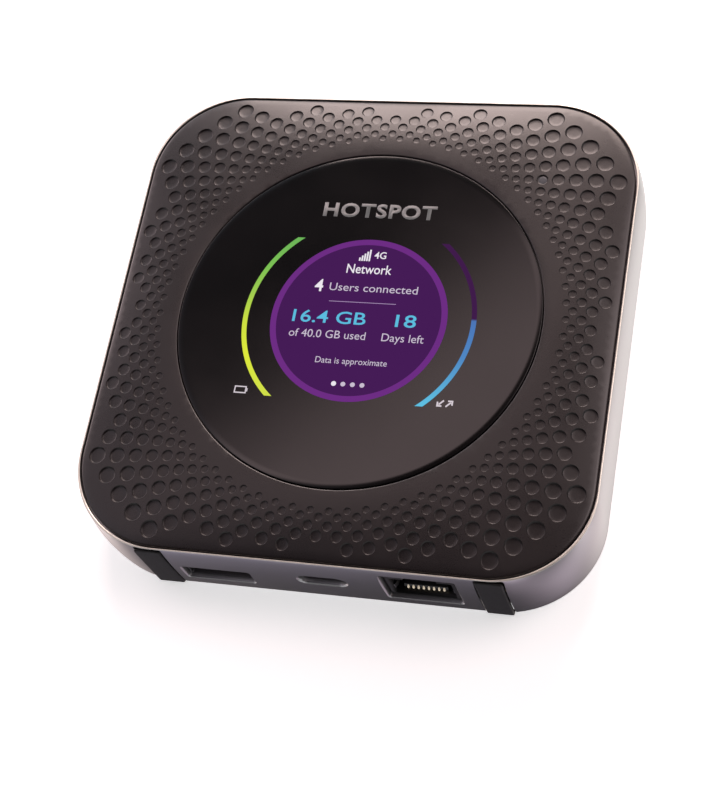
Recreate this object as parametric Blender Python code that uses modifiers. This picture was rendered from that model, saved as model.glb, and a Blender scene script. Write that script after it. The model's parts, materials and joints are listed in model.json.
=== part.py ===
"""Portable 4G hotspot router, 105.5 x 105.5 x 20.35 mm, lying on its back.

Frame: origin at the middle of the underside, +Z out of the screen,
ports on the -Y edge, buttons on the +Y edge, +X to the user's right.
All dimensions below are millimetres; MM turns them into metres.
"""
import math

import bpy
import bmesh
from mathutils import Matrix, Vector

MM = 0.001

# ---------------------------------------------------------------- overall
TOP = 20.35            # top of the lens and of the face beside it
FACE_H = 51.7          # half width of the face plate
FACE_R = 19.3          # its corner radius
DOME = 1.75            # how far the face falls from the lens to the rim
RIM_Z = TOP - DOME
LENS_R = 37.0
LENS_HOLE = 37.55
LEDGE_R = 33.0         # seat under the edge of the lens
LEDGE_Z = 18.95
SHELL = 1.3            # moulded wall of the face plate
SKIRT_Z = 16.9         # lower end of the face plate's skirt

BAND_X = 1.05          # bulge of the side band past the face, each side in X
BAND_Y = 0.85          # and in Y, where flaps and buttons stand proud
BAND_IN = -0.8         # inner wall of the band, relative to FACE_H
BAND_BOTTOM = 0.75

# ---------------------------------------------------------------- ports
USBA_X, USBA_Z = -22.1, 7.25
USBC_X, USBC_Z = 0.0, 9.8
RJ_X, RJ_Z = 19.75, 9.85
FLAP_X = 33.9
FLAP_W = 5.4
FLAP_Z0, FLAP_Z1 = 2.05, 17.75
HINGE_Y, HINGE_Z = -52.1, 2.2
JACK_Z = 8.2
PORT_FRONT = -51.6     # connector shells end here, just inside the band's face

# ---------------------------------------------------------------- buttons
BTN_Z = 9.8
POWER_X, POWER_W = 12.0, 11.0
NAV_X, NAV_W = -12.0, 8.0
BTN_H = 3.4

# ---------------------------------------------------------------- inside
PCB_Z0, PCB_Z1 = 11.9, 12.9
PLATE_Z0, PLATE_Z1 = 10.6, 11.6       # chassis floor
WALL_Z = 2.6                          # lower edge of the chassis walls
BAY_X0, BAY_X1 = -46.6, 26.6
BAY_Y0, BAY_Y1 = -24.6, 38.6
CARD_X0, CARD_X1 = 27.8, 47.0
WALL = 1.2
CARD_X = 37.5
SCREWS = [(-38.0, -29.5), (38.0, -29.5), (-30.0, 42.2), (30.0, 42.2)]
FEET = [(-36.0, -36.0), (36.0, -36.0), (-36.0, 36.0), (36.0, 36.0)]
LED_XY = 33.1
COVER_Z0, COVER_Z1 = 0.6, 2.0
COVER_H, COVER_R = 50.5, 17.9
GAP = 0.3

CORNER_SEGS = 8
SIDE_SEGS = 8

# ---------------------------------------------------------------- scene
for o in list(bpy.data.objects):
    bpy.data.objects.remove(o, do_unlink=True)

parts = bpy.data.collections.new("mobile_hotspot")
tools = bpy.data.collections.new("cutters")
bpy.context.scene.collection.children.link(parts)
bpy.context.scene.collection.children.link(tools)


def material(name, rgb, rough, metal=0.0, alpha=1.0):
    m = bpy.data.materials.new(name)
    m.use_nodes = True
    b = m.node_tree.nodes["Principled BSDF"]
    b.inputs["Base Color"].default_value = (*rgb, 1.0)
    b.inputs["Roughness"].default_value = rough
    b.inputs["Metallic"].default_value = metal
    b.inputs["Alpha"].default_value = alpha
    return m


MAT = {
    "face": material("face", (0.060, 0.050, 0.048), 0.55),
    "band": material("band", (0.36, 0.34, 0.38), 0.32, 0.6),
    "lens": material("lens", (0.010, 0.009, 0.010), 0.06),
    "screen": material("screen", (0.10, 0.02, 0.16), 0.3),
    "rubber": material("rubber", (0.012, 0.012, 0.013), 0.75),
    "cover": material("cover", (0.045, 0.043, 0.046), 0.6),
    "frame": material("frame", (0.05, 0.05, 0.055), 0.55),
    "board": material("board", (0.01, 0.07, 0.035), 0.5),
    "steel": material("steel", (0.55, 0.55, 0.56), 0.3, 1.0),
    "gold": material("gold", (0.85, 0.62, 0.25), 0.25, 1.0),
    "insulator": material("insulator", (0.015, 0.015, 0.016), 0.5),
    "battery": material("battery", (0.06, 0.06, 0.065), 0.45),
    "card": material("card", (0.75, 0.75, 0.76), 0.5),
    "diffuser": material("diffuser", (0.75, 0.80, 0.85), 0.35),
    "button": material("button", (0.10, 0.095, 0.105), 0.4, 0.3),
}


def finish(me, name, mat, origin, coll=parts):
    """Make an object whose origin is at the given point, in mm."""
    o = bpy.data.objects.new(name, me)
    p = Vector(origin) * MM
    me.transform(Matrix.Translation(-p))
    o.location = p
    coll.objects.link(o)
    if mat:
        me.materials.append(MAT[mat])
    else:
        o.hide_render = True
        o.display_type = 'WIRE'
    return o


def mesh_from(bm, name, smooth=False):
    bmesh.ops.recalc_face_normals(bm, faces=bm.faces)
    me = bpy.data.meshes.new(name)
    bm.to_mesh(me)
    bm.free()
    if smooth:
        me.shade_smooth()
        me.set_sharp_from_angle(angle=math.radians(35))
    return me


def box(name, mat, x, y, z, bevel=0.0, segs=1, coll=parts, origin=None):
    """Box from (x0, x1), (y0, y1), (z0, z1)."""
    bm = bmesh.new()
    bmesh.ops.create_cube(bm, size=1.0)
    c = Vector(((x[0] + x[1]) / 2, (y[0] + y[1]) / 2, (z[0] + z[1]) / 2))
    s = Vector((x[1] - x[0], y[1] - y[0], z[1] - z[0]))
    for v in bm.verts:
        v.co = Vector((v.co.x * s.x + c.x, v.co.y * s.y + c.y,
                       v.co.z * s.z + c.z)) * MM
    o = finish(mesh_from(bm, name), name, mat, origin or c, coll)
    if bevel:
        m = o.modifiers.new("edges", 'BEVEL')
        m.width = bevel * MM
        m.segments = segs
        m.limit_method = 'ANGLE'
        m.use_clamp_overlap = True
    return o


AXIS = {
    "X": Matrix.Rotation(math.radians(90), 4, 'Y'),
    "Y": Matrix.Rotation(math.radians(90), 4, 'X'),
    "Z": Matrix.Identity(4),
}


def cyl(name, mat, r, length, centre, axis="Z", segs=24, coll=parts,
        origin=None, r2=None):
    bm = bmesh.new()
    bmesh.ops.create_cone(bm, cap_ends=True, segments=segs, radius1=r * MM,
                          radius2=(r if r2 is None else r2) * MM,
                          depth=length * MM)
    bmesh.ops.transform(bm, matrix=Matrix.Translation(Vector(centre) * MM)
                        @ AXIS[axis], verts=bm.verts)
    return finish(mesh_from(bm, name, True), name, mat, origin or centre, coll)


def outline(hx, hy, r, cx=0.0, cy=0.0):
    """Rounded rectangle, counter-clockwise, always the same point count."""
    pts = []
    for q, (sx, sy) in enumerate(((1, 1), (-1, 1), (-1, -1), (1, -1))):
        ox, oy = sx * (hx - r), sy * (hy - r)
        for k in range(CORNER_SEGS + 1):
            a = math.radians(90 * q + 90 * k / CORNER_SEGS)
            pts.append((ox + r * math.cos(a), oy + r * math.sin(a)))
        nx, ny = ((-1, 1), (-1, -1), (1, -1), (1, 1))[q]
        ex, ey = nx * (hx - r), ny * (hy - r)
        a1 = math.radians(90 * (q + 1))
        sxp, syp = pts[-1]
        exp_, eyp = ex + r * math.cos(a1), ey + r * math.sin(a1)
        for k in range(1, SIDE_SEGS):
            t = k / SIDE_SEGS
            pts.append((sxp + (exp_ - sxp) * t, syp + (eyp - syp) * t))
    return [(px + cx, py + cy) for px, py in pts]


FACE_RING = outline(FACE_H, FACE_H, FACE_R)
ANGLES = [math.atan2(y, x) for x, y in FACE_RING]


def circle_ring(r):
    return [(r * math.cos(a), r * math.sin(a)) for a in ANGLES]


def between(t, r=LENS_HOLE):
    """Ring a fraction t of the way from the lens hole to the face outline."""
    return [(c[0] + (f[0] - c[0]) * t, c[1] + (f[1] - c[1]) * t)
            for c, f in zip(circle_ring(r), FACE_RING)]


def loft(name, mat, rings, closed, origin=(0, 0, 0), coll=parts):
    """Skin a list of (points, z) rings; closed joins the last to the first,
    otherwise both ends are capped."""
    bm = bmesh.new()
    rows = []
    for pts, z in rings:
        rows.append([bm.verts.new((x * MM, y * MM, z * MM)) for x, y in pts])
    n = len(rows[0])
    last = len(rows) if closed else len(rows) - 1
    for i in range(last):
        a, b = rows[i], rows[(i + 1) % len(rows)]
        for j in range(n):
            bm.faces.new((a[j], a[(j + 1) % n], b[(j + 1) % n], b[j]))
    if not closed:
        bm.faces.new(rows[0])
        bm.faces.new(rows[-1])
    return finish(mesh_from(bm, name, True), name, mat, origin, coll)


def slab(name, mat, hx, hy, r, z0, z1, cx=0.0, cy=0.0, coll=parts):
    ring = outline(hx, hy, r, cx, cy)
    return loft(name, mat, [(ring, z0), (ring, z1)], False,
                (cx, cy, (z0 + z1) / 2), coll)


def boolean(o, cutter, op='DIFFERENCE'):
    m = o.modifiers.new(op.lower() + "_" + cutter.name, 'BOOLEAN')
    m.operation = op
    m.solver = 'EXACT'
    m.object = cutter
    return m


def cut_box(o, x, y, z, tag):
    boolean(o, box("cut_" + o.name + "_" + tag, None, x, y, z, coll=tools))


def cut_cyl(o, r, length, centre, tag, axis="Z", segs=24):
    boolean(o, cyl("cut_" + o.name + "_" + tag, None, r, length, centre, axis,
                   segs, tools))


def add_box(o, x, y, z, tag):
    boolean(o, box("add_" + o.name + "_" + tag, None, x, y, z, coll=tools),
            'UNION')


def stadium(name, mat, cx, cz, w, h, y0, y1, coll=parts, segs=8, origin=None):
    """Slot-shaped prism along Y, w wide and h high."""
    r = h / 2
    pts = []
    for side in (1, -1):
        for k in range(segs + 1):
            a = math.radians(-90 + 180 * k / segs) if side == 1 else \
                math.radians(90 + 180 * k / segs)
            pts.append((cx + side * (w / 2 - r) + r * math.cos(a),
                        cz + r * math.sin(a)))
    bm = bmesh.new()
    a = [bm.verts.new((x * MM, y0 * MM, z * MM)) for x, z in pts]
    b = [bm.verts.new((x * MM, y1 * MM, z * MM)) for x, z in pts]
    n = len(pts)
    for j in range(n):
        bm.faces.new((a[j], a[(j + 1) % n], b[(j + 1) % n], b[j]))
    bm.faces.new(a)
    bm.faces.new(b)
    return finish(mesh_from(bm, name, True), name, mat,
                  origin or (cx, (y0 + y1) / 2, cz), coll)


# ================================================================ housing
# Face plate: a domed moulding with a round seat for the lens, 1.3 mm wall.
def dome(t):
    return TOP - DOME * t * t


face = loft("front_face_plate", "face", [
    (circle_ring(LEDGE_R), LEDGE_Z),
    (circle_ring(LENS_HOLE), LEDGE_Z),
    (circle_ring(LENS_HOLE), TOP),
    (between(0.40), dome(0.40)),
    (between(0.75), dome(0.75)),
    (FACE_RING, RIM_Z),
    (FACE_RING, SKIRT_Z),
    (outline(FACE_H - SHELL, FACE_H - SHELL, FACE_R - SHELL), SKIRT_Z),
    (outline(FACE_H - SHELL, FACE_H - SHELL, FACE_R - SHELL), RIM_Z - SHELL),
    (between(0.75), dome(0.75) - SHELL),
    (between(0.40), dome(0.40) - SHELL),
    (circle_ring(LENS_HOLE + SHELL), dome(0.1) - SHELL),
    (circle_ring(LENS_HOLE + SHELL), LEDGE_Z - SHELL),
    (circle_ring(LEDGE_R), LEDGE_Z - SHELL),
], True)
for i, (sx, sy) in enumerate(SCREWS):
    boolean(face, cyl("boss_%d" % i, None, 2.1, 6.1, (sx, sy, 16.25),
                      coll=tools, segs=16), 'UNION')
for i, (sx, sy) in enumerate(SCREWS):
    cut_cyl(face, 1.1, 4.0, (sx, sy, 14.7), "screw%d" % i, segs=12)
cut_cyl(face, 1.2, 8.0, (LED_XY, LED_XY, 19.0), "led", segs=16)

# Side band: one extruded-section ring with the port and button windows.
def band_ring(d, corner=None):
    dy = min(d, BAND_Y)
    r = FACE_R + 0.4 - 0.9 * max(d, 0.0) if corner is None else corner
    return outline(FACE_H + d, FACE_H + dy, r)


band = loft("side_band", "band", [
    (band_ring(-0.70, 18.5), 0.95),
    (band_ring(0.30), BAND_BOTTOM),
    (band_ring(0.70), 1.25),
    (band_ring(BAND_X), 4.0),
    (band_ring(BAND_X), 14.4),
    (band_ring(0.80), 17.2),
    (band_ring(0.62), 18.2),
    (band_ring(0.48), RIM_Z),
    (band_ring(GAP), RIM_Z),
    (band_ring(GAP), SKIRT_Z - GAP),
    (band_ring(BAND_IN, 18.5), SKIRT_Z - GAP),
    (band_ring(BAND_IN, 18.5), 1.6),
], True)
OUT = (-54.0, -50.2)
cut_box(band, (USBA_X - 7.2, USBA_X + 7.2), OUT, (USBA_Z - 3.0, USBA_Z + 3.0),
        "usb_a")
boolean(band, stadium("cut_band_usb_c", None, USBC_X, USBC_Z, 10.0, 4.2,
                      OUT[0], OUT[1], tools))
cut_box(band, (RJ_X - 7.4, RJ_X + 7.4), OUT, (RJ_Z - 5.9, RJ_Z + 5.9), "rj45")
for s, side in ((-1, "left"), (1, "right")):
    cut_box(band, (s * FLAP_X - FLAP_W / 2 - GAP, s * FLAP_X + FLAP_W / 2 + GAP),
            OUT, (0.0, FLAP_Z1 + GAP), "flap_" + side)
for bx, bw, side in ((POWER_X, POWER_W, "power"), (NAV_X, NAV_W, "nav")):
    boolean(band, stadium("cut_band_" + side, None, bx, BTN_Z, bw + 2 * GAP,
                          BTN_H + 2 * GAP, 50.2, 54.0, tools))

lens = cyl("lens_cover", "lens", LENS_R, 1.1, (0, 0, TOP - 0.55), segs=64)

# Rear cover: a plate with snap tabs and pockets for the feet.
cover = slab("rear_cover", "cover", COVER_H, COVER_H, COVER_R,
             COVER_Z0, COVER_Z1)
TABS = [(-12.0, 48.2, 8.0, 1.2), (12.0, 48.2, 8.0, 1.2),
        (-8.0, -48.2, 8.0, 1.2), (8.0, -48.2, 8.0, 1.2),
        (-49.2, 0.0, 1.0, 8.0), (49.2, 0.0, 1.0, 8.0)]
for i, (tx, ty, tw, tl) in enumerate(TABS):
    add_box(cover, (tx - tw / 2, tx + tw / 2), (ty - tl / 2, ty + tl / 2),
            (1.4, 4.8), "tab%d" % i)
for i, (fx, fy) in enumerate(FEET):
    cut_cyl(cover, 4.3, 2.0, (fx, fy, 0.1), "foot%d" % i)
feet = []
for i, (fx, fy) in enumerate(FEET):
    feet.append(cyl("foot_pad_%d" % (i + 1), "rubber", 4.0, 0.8,
                    (fx, fy, 0.4), segs=24))

# ================================================================ display
lcd = box("lcd_module", "screen", (-30.0, 30.0), (-22.5, 20.5), (15.3, 17.3),
          0.2)
bracket = box("lcd_bracket", "steel", (-33.0, 33.0), (-25.0, 23.0),
              (15.2, 17.2))
cut_box(bracket, (-30.4, 30.4), (-22.9, 20.9), (14.0, 18.0), "window")
# the ribbon leaves the display under its lower edge
cut_box(bracket, (-6.6, 6.6), (-26.0, -22.0), (14.0, 16.4), "ribbon")
ribbon_path = [(-22.7, 15.9), (-25.6, 15.75), (-26.7, 15.3), (-27.1, 14.6),
               (-26.7, 13.9), (-25.6, 13.4), (-23.4, 13.3)]
bm = bmesh.new()
rows = [[bm.verts.new((x * MM, y * MM, z * MM)) for x in (-6.0, 6.0)]
        for y, z in ribbon_path]
for r0, r1 in zip(rows, rows[1:]):
    bm.faces.new((r0[0], r0[1], r1[1], r1[0]))
ribbon = finish(mesh_from(bm, "lcd_ribbon", True), "lcd_ribbon", "insulator",
                (0, -27.1, 14.6))
m = ribbon.modifiers.new("thickness", 'SOLIDIFY')
m.thickness = 0.15 * MM
m.offset = 0.0

pipe = cyl("led_light_pipe", "diffuser", 0.9, 6.2, (LED_XY, LED_XY, 16.3),
           segs=16)

# ================================================================ electronics
pcb = slab("main_pcb", "board", 48.6, 48.6, 16.6, PCB_Z0, PCB_Z1)
cut_box(pcb, (RJ_X - 8.0, RJ_X + 8.0), (-52.0, -34.4), (11.0, 14.0), "rj45")
for i, (sx, sy) in enumerate(SCREWS):
    cut_cyl(pcb, 1.3, 4.0, (sx, sy, 12.4), "screw%d" % i, segs=12)
SH0, SH1 = PCB_Z1 + GAP, 14.9
modem = box("modem_shield", "steel", (-32.0, -1.0), (-20.0, 12.0), (SH0, SH1),
            0.25)
wifi = box("wifi_shield", "steel", (3.0, 31.0), (-20.0, 6.0), (SH0, SH1), 0.25)
pmic = box("power_shield", "steel", (-22.0, 18.0), (26.0, 40.0), (SH0, 15.4),
           0.25)
ant_l = box("antenna_left", "frame", (-50.3, -49.4), (-26.0, 26.0),
            (5.4, 16.0))
ant_r = box("antenna_right", "frame", (49.4, 50.3), (-26.0, 26.0),
            (5.4, 16.0))

# USB-A: a folded steel shell, open to -Y, around a plastic tongue.
usb_a = box("usb_a_shell", "steel", (USBA_X - 6.6, USBA_X + 6.6),
            (PORT_FRONT, -38.0), (USBA_Z - 2.75, USBA_Z + 2.75))
cut_box(usb_a, (USBA_X - 6.25, USBA_X + 6.25), (-56.0, -38.5),
        (USBA_Z - 2.4, USBA_Z + 2.4), "mouth")
usb_a_t = box("usb_a_tongue", "insulator", (USBA_X - 5.5, USBA_X + 5.5),
              (-50.6, -38.8), (USBA_Z + 0.1, USBA_Z + 1.9), 0.15)

# USB-C: the same idea with a slot-shaped shell.
usb_c = stadium("usb_c_shell", "steel", USBC_X, USBC_Z, 8.95, 3.2,
                PORT_FRONT, -44.2)
boolean(usb_c, stadium("cut_usb_c_mouth", None, USBC_X, USBC_Z, 8.35, 2.6,
                       -56.0, -44.8, tools))
usb_c_t = box("usb_c_tongue", "insulator", (USBC_X - 3.3, USBC_X + 3.3),
              (-50.6, -45.1), (USBC_Z - 0.35, USBC_Z + 0.35), 0.1)

# Ethernet jack: plug cavity with the latch notch on the screen side.
rj = box("rj45_jack", "insulator", (RJ_X - 7.1, RJ_X + 7.1),
         (PORT_FRONT, -35.0), (RJ_Z - 5.6, RJ_Z + 5.6))
cut_box(rj, (RJ_X - 5.95, RJ_X + 5.95), (-56.0, -37.5), (4.95, 12.35),
        "plug")
cut_box(rj, (RJ_X - 3.1, RJ_X + 3.1), (-56.0, -37.5), (11.0, 14.5), "latch")
comb = box("rj45_contacts", "gold", (RJ_X - 4.4, RJ_X + 4.4),
           (-50.6, -38.0), (5.25, 5.6))
for k in range(7):
    cx = RJ_X - 3.06 + 1.02 * k
    cut_box(comb, (cx - 0.28, cx + 0.28), (-52.0, -40.0), (5.0, 6.0),
            "slot%d" % k)

# Antenna sockets behind the two flaps.
sock, jacks = [], []
for s, side in ((-1, "left"), (1, "right")):
    p = box("antenna_socket_" + side, "insulator",
            (s * FLAP_X - 3.3, s * FLAP_X + 3.3), (-49.9, -48.9), (2.5, 16.2))
    cut_cyl(p, 2.5, 6.0, (s * FLAP_X, -50.0, JACK_Z), "bore", "Y", 20)
    sock.append(p)
    j = cyl("antenna_jack_" + side, "gold", 2.2, 4.4,
            (s * FLAP_X, -48.8, JACK_Z), "Y", 20)
    cut_cyl(j, 1.4, 6.0, (s * FLAP_X, -50.6, JACK_Z), "bore", "Y", 16)
    jacks.append(j)

# ================================================================ chassis
chassis = slab("battery_chassis", "frame", 48.6, 38.75, 14.0,
               PLATE_Z0, PLATE_Z1, 0.0, 5.75)
add_box(chassis, (BAY_X0 - WALL, CARD_X1 + WALL),
        (BAY_Y0 - WALL, BAY_Y1 + WALL), (WALL_Z, 11.0), "block")
cut_box(chassis, (BAY_X0, BAY_X1), (BAY_Y0, BAY_Y1), (0.0, PLATE_Z0), "bay")
cut_box(chassis, (CARD_X0, CARD_X1), (BAY_Y0, BAY_Y1), (0.0, PLATE_Z0),
        "cards")
cut_box(chassis, (-19.0, -1.0), (-27.0, -24.0), (3.4, 10.3), "contacts")
cut_cyl(chassis, 1.3, 4.0, (44.5, 6.0, 11.0), "reset", segs=12)
for i, (sx, sy) in enumerate(SCREWS):
    cut_cyl(chassis, 1.3, 4.0, (sx, sy, 11.0), "screw%d" % i, segs=12)

# Screws, driven up through chassis and board into the face plate's bosses.
screws = []
for i, (sx, sy) in enumerate(SCREWS):
    n = "chassis_screw_%d" % (i + 1)
    o = cyl(n, "steel", 1.75, 1.0, (sx, sy, PLATE_Z0 - GAP - 0.5), segs=16)
    boolean(o, cyl("shank_%d" % i, None, 0.8, 6.4, (sx, sy, 13.2),
                   coll=tools, segs=12), 'UNION')
    cut_cyl(o, 0.7, 1.0, (sx, sy, 9.2), "drive", segs=6)
    screws.append(o)

batt_conn = box("battery_connector", "insulator", (-18.4, -1.6),
                (-29.2, -24.9), (3.9, 9.9), 0.2)
sim_holder = box("sim_holder", "steel", (CARD_X - 7.3, CARD_X + 7.3),
                 (24.5, 38.0), (8.2, 10.3))
cut_box(sim_holder, (CARD_X - 6.4, CARD_X + 6.4), (20.0, 37.5), (8.55, 9.95),
        "slot")
sd_holder = box("microsd_holder", "steel", (CARD_X - 6.8, CARD_X + 6.8),
                (-24.2, -11.2), (8.2, 10.3))
cut_box(sd_holder, (CARD_X - 5.9, CARD_X + 5.9), (-23.7, -8.0), (8.55, 9.95),
        "slot")

# ================================================================ movers
# Battery pack, and its terminals on the edge that meets the connector.
battery = box("battery_pack", "battery", (-46.0, 26.0), (-23.9, 38.0),
              (2.5, 10.2), 0.8, 2)
cut_box(battery, (-17.4, -2.6), (-25.0, -23.2), (5.0, 8.8), "terminal")
terminal = box("battery_terminals", "gold", (-17.0, -3.0),
               (-24.2, -23.5), (5.4, 8.4))

sim = box("sim_card", "card", (CARD_X - 6.0, CARD_X + 6.0), (22.2, 37.2),
          (8.86, 9.62))
sd = box("microsd_card", "insulator", (CARD_X - 5.5, CARD_X + 5.5),
         (-23.4, -8.4), (8.86, 9.64))

reset = cyl("reset_button", "button", 1.4, 1.0, (44.5, 6.0, 9.1), segs=16)
boolean(reset, cyl("reset_stem", None, 0.9, 2.4, (44.5, 6.0, 10.3),
                   coll=tools, segs=12), 'UNION')

buttons, switches = [], []
for bx, bw, side in ((POWER_X, POWER_W, "power"), (NAV_X, NAV_W, "nav")):
    b = stadium(side + "_button", "button", bx, BTN_Z, bw, BTN_H, 50.3, 52.75,
                origin=(bx, 50.2, BTN_Z))
    boolean(b, stadium("flange_" + side, None, bx, BTN_Z, bw + 2.4,
                       BTN_H + 1.2, 49.8, 50.6, tools), 'UNION')
    buttons.append(b)
    switches.append(box(side + "_switch", "steel", (bx - 3.0, bx + 3.0),
                        (45.4, 49.1), (8.2, 11.4), 0.2))

# Rubber flaps over the antenna sockets, each on its own bend line, and the
# anchors that hold them under the band's lower edge.
flaps, anchors = [], []
for s, side in ((-1, "left"), (1, "right")):
    x0, x1 = s * FLAP_X - FLAP_W / 2, s * FLAP_X + FLAP_W / 2
    f = box("antenna_flap_" + side, "rubber", (x0, x1), (-52.75, -51.55),
            (FLAP_Z0, FLAP_Z1), origin=(s * FLAP_X, HINGE_Y, HINGE_Z))
    boolean(f, cyl("plug_" + side, None, 1.0, 0.55,
                   (s * FLAP_X, -51.6, JACK_Z), "Y", 12, tools), 'UNION')
    # thinner tip, clear of the face plate's skirt
    cut_box(f, (x0 - 1.0, x1 + 1.0), (-52.0, -51.0), (16.4, 19.0), "tip")
    flaps.append(f)
    anchors.append(box("flap_anchor_" + side, "rubber", (x0, x1),
                       (-52.65, -51.1), (0.35, 1.25)))

# ================================================================ assembly
def group(name, members, at=(0, 0, 0)):
    e = bpy.data.objects.new(name, None)
    e.empty_display_size = 0.01
    e.location = Vector(at) * MM
    parts.objects.link(e)
    for o in members:
        w = o.location.copy()
        o.parent = e
        o.location = w - e.location
    return e


cover_grp = group("cover_group", [cover] + feet)
main_grp = group("main_group", [
    face, band, lens, lcd, bracket, ribbon, pipe, pcb, modem, wifi, pmic,
    ant_l, ant_r, usb_a, usb_a_t, usb_c, usb_c_t, rj, comb, chassis,
    batt_conn, sim_holder, sd_holder] + sock + jacks + screws + switches
    + anchors)
battery_grp = group("battery_group", [battery, terminal])
group("sim_group", [sim], (CARD_X, 29.7, 9.24))
group("microsd_group", [sd], (CARD_X, -15.9, 9.25))
group("reset_group", [reset], (44.5, 6.0, 9.1))
group("power_group", [buttons[0]], (POWER_X, 50.2, BTN_Z))
group("nav_group", [buttons[1]], (NAV_X, 50.2, BTN_Z))
group("flap_left_group", [flaps[0]], (-FLAP_X, HINGE_Y, HINGE_Z))
group("flap_right_group", [flaps[1]], (FLAP_X, HINGE_Y, HINGE_Z))
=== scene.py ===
"""Looks for the pocket hotspot: detailed meshes and procedural materials
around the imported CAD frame. Dimensions are written in millimetres."""
import json
import math

import bpy
import bmesh
import numpy as np
from mathutils import Matrix, Vector
from mathutils.geometry import delaunay_2d_cdt

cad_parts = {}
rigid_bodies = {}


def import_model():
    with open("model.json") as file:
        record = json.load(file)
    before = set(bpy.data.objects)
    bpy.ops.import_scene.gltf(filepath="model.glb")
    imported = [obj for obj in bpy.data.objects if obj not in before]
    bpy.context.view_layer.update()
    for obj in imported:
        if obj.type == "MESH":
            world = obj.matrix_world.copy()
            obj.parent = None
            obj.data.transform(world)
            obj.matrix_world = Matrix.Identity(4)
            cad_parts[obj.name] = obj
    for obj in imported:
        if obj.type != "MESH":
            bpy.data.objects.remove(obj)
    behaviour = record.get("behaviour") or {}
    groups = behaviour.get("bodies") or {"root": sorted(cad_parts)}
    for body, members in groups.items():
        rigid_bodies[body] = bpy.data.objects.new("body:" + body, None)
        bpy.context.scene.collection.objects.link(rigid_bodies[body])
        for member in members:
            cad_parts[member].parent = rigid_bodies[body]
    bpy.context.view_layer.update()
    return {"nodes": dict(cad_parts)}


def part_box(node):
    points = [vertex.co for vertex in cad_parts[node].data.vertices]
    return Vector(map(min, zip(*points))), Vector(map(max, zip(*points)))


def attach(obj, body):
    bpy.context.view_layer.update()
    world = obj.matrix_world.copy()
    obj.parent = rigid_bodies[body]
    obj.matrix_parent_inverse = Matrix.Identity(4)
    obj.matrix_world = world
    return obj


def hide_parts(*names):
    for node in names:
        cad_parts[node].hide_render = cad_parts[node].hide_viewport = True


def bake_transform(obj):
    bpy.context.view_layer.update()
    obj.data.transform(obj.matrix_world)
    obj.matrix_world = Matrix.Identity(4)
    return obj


for _o in list(bpy.data.objects):
    bpy.data.objects.remove(_o, do_unlink=True)

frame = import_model()
NODES = frame["nodes"]
MM = 0.001


def node_box(name):
    lo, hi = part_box(name)
    return lo / MM, hi / MM


# ------------------------------------------------------------ driving sizes
_lo, _hi = node_box("front_face_plate")
FACE_H = _hi.x
FACE_R = 19.3
LENS_HOLE = 37.55
DOME = 1.75
TOP = node_box("lens_cover")[1].z
UNIT = 51.4                       # unit in which the dimple field is laid out
BAND_X, BAND_Y = 1.05, 0.85


# ============================================================ node helpers
def new_mat(name):
    m = bpy.data.materials.new(name)
    m.use_nodes = True
    nt = m.node_tree
    bsdf = nt.nodes["Principled BSDF"]
    return m, nt, bsdf


def link(nt, a, b):
    nt.links.new(a, b)


def coord(nt, scale=1.0):
    tc = nt.nodes.new("ShaderNodeTexCoord")
    mp = nt.nodes.new("ShaderNodeMapping")
    mp.inputs["Scale"].default_value = (scale,) * 3
    link(nt, tc.outputs["Object"], mp.inputs["Vector"])
    return mp.outputs["Vector"]


def noise(nt, vec, scale, detail=4.0, rough=0.55):
    n = nt.nodes.new("ShaderNodeTexNoise")
    n.inputs["Scale"].default_value = scale
    n.inputs["Detail"].default_value = detail
    n.inputs["Roughness"].default_value = rough
    link(nt, vec, n.inputs["Vector"])
    return n.outputs["Fac"]


def voronoi(nt, vec, scale):
    n = nt.nodes.new("ShaderNodeTexVoronoi")
    n.inputs["Scale"].default_value = scale
    link(nt, vec, n.inputs["Vector"])
    return n.outputs["Distance"]


def ramp(nt, fac, stops):
    r = nt.nodes.new("ShaderNodeValToRGB")
    el = r.color_ramp.elements
    while len(el) > 1:
        el.remove(el[-1])
    el[0].position = stops[0][0]
    el[0].color = (*stops[0][1], 1.0)
    for p, c in stops[1:]:
        e = el.new(p)
        e.color = (*c, 1.0)
    link(nt, fac, r.inputs["Fac"])
    return r.outputs["Color"]


def span(nt, fac, lo, hi, a=0.0, b=1.0):
    n = nt.nodes.new("ShaderNodeMapRange")
    n.inputs["From Min"].default_value = a
    n.inputs["From Max"].default_value = b
    n.inputs["To Min"].default_value = lo
    n.inputs["To Max"].default_value = hi
    link(nt, fac, n.inputs["Value"])
    return n.outputs["Result"]


def maths(nt, op, a, b=None):
    n = nt.nodes.new("ShaderNodeMath")
    n.operation = op
    for i, v in enumerate((a, b)):
        if v is None:
            continue
        if isinstance(v, (int, float)):
            n.inputs[i].default_value = v
        else:
            link(nt, v, n.inputs[i])
    return n.outputs[0]


def bump(nt, bsdf, height, dist, strength=1.0):
    b = nt.nodes.new("ShaderNodeBump")
    b.inputs["Distance"].default_value = dist * MM
    b.inputs["Strength"].default_value = strength
    link(nt, height, b.inputs["Height"])
    link(nt, b.outputs["Normal"], bsdf.inputs["Normal"])
    return b


def lin(r, g, b):
    """sRGB 0-255 to linear."""
    out = []
    for c in (r, g, b):
        c /= 255.0
        out.append(c / 12.92 if c <= 0.04045 else ((c + 0.055) / 1.055) ** 2.4)
    return tuple(out)


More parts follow.
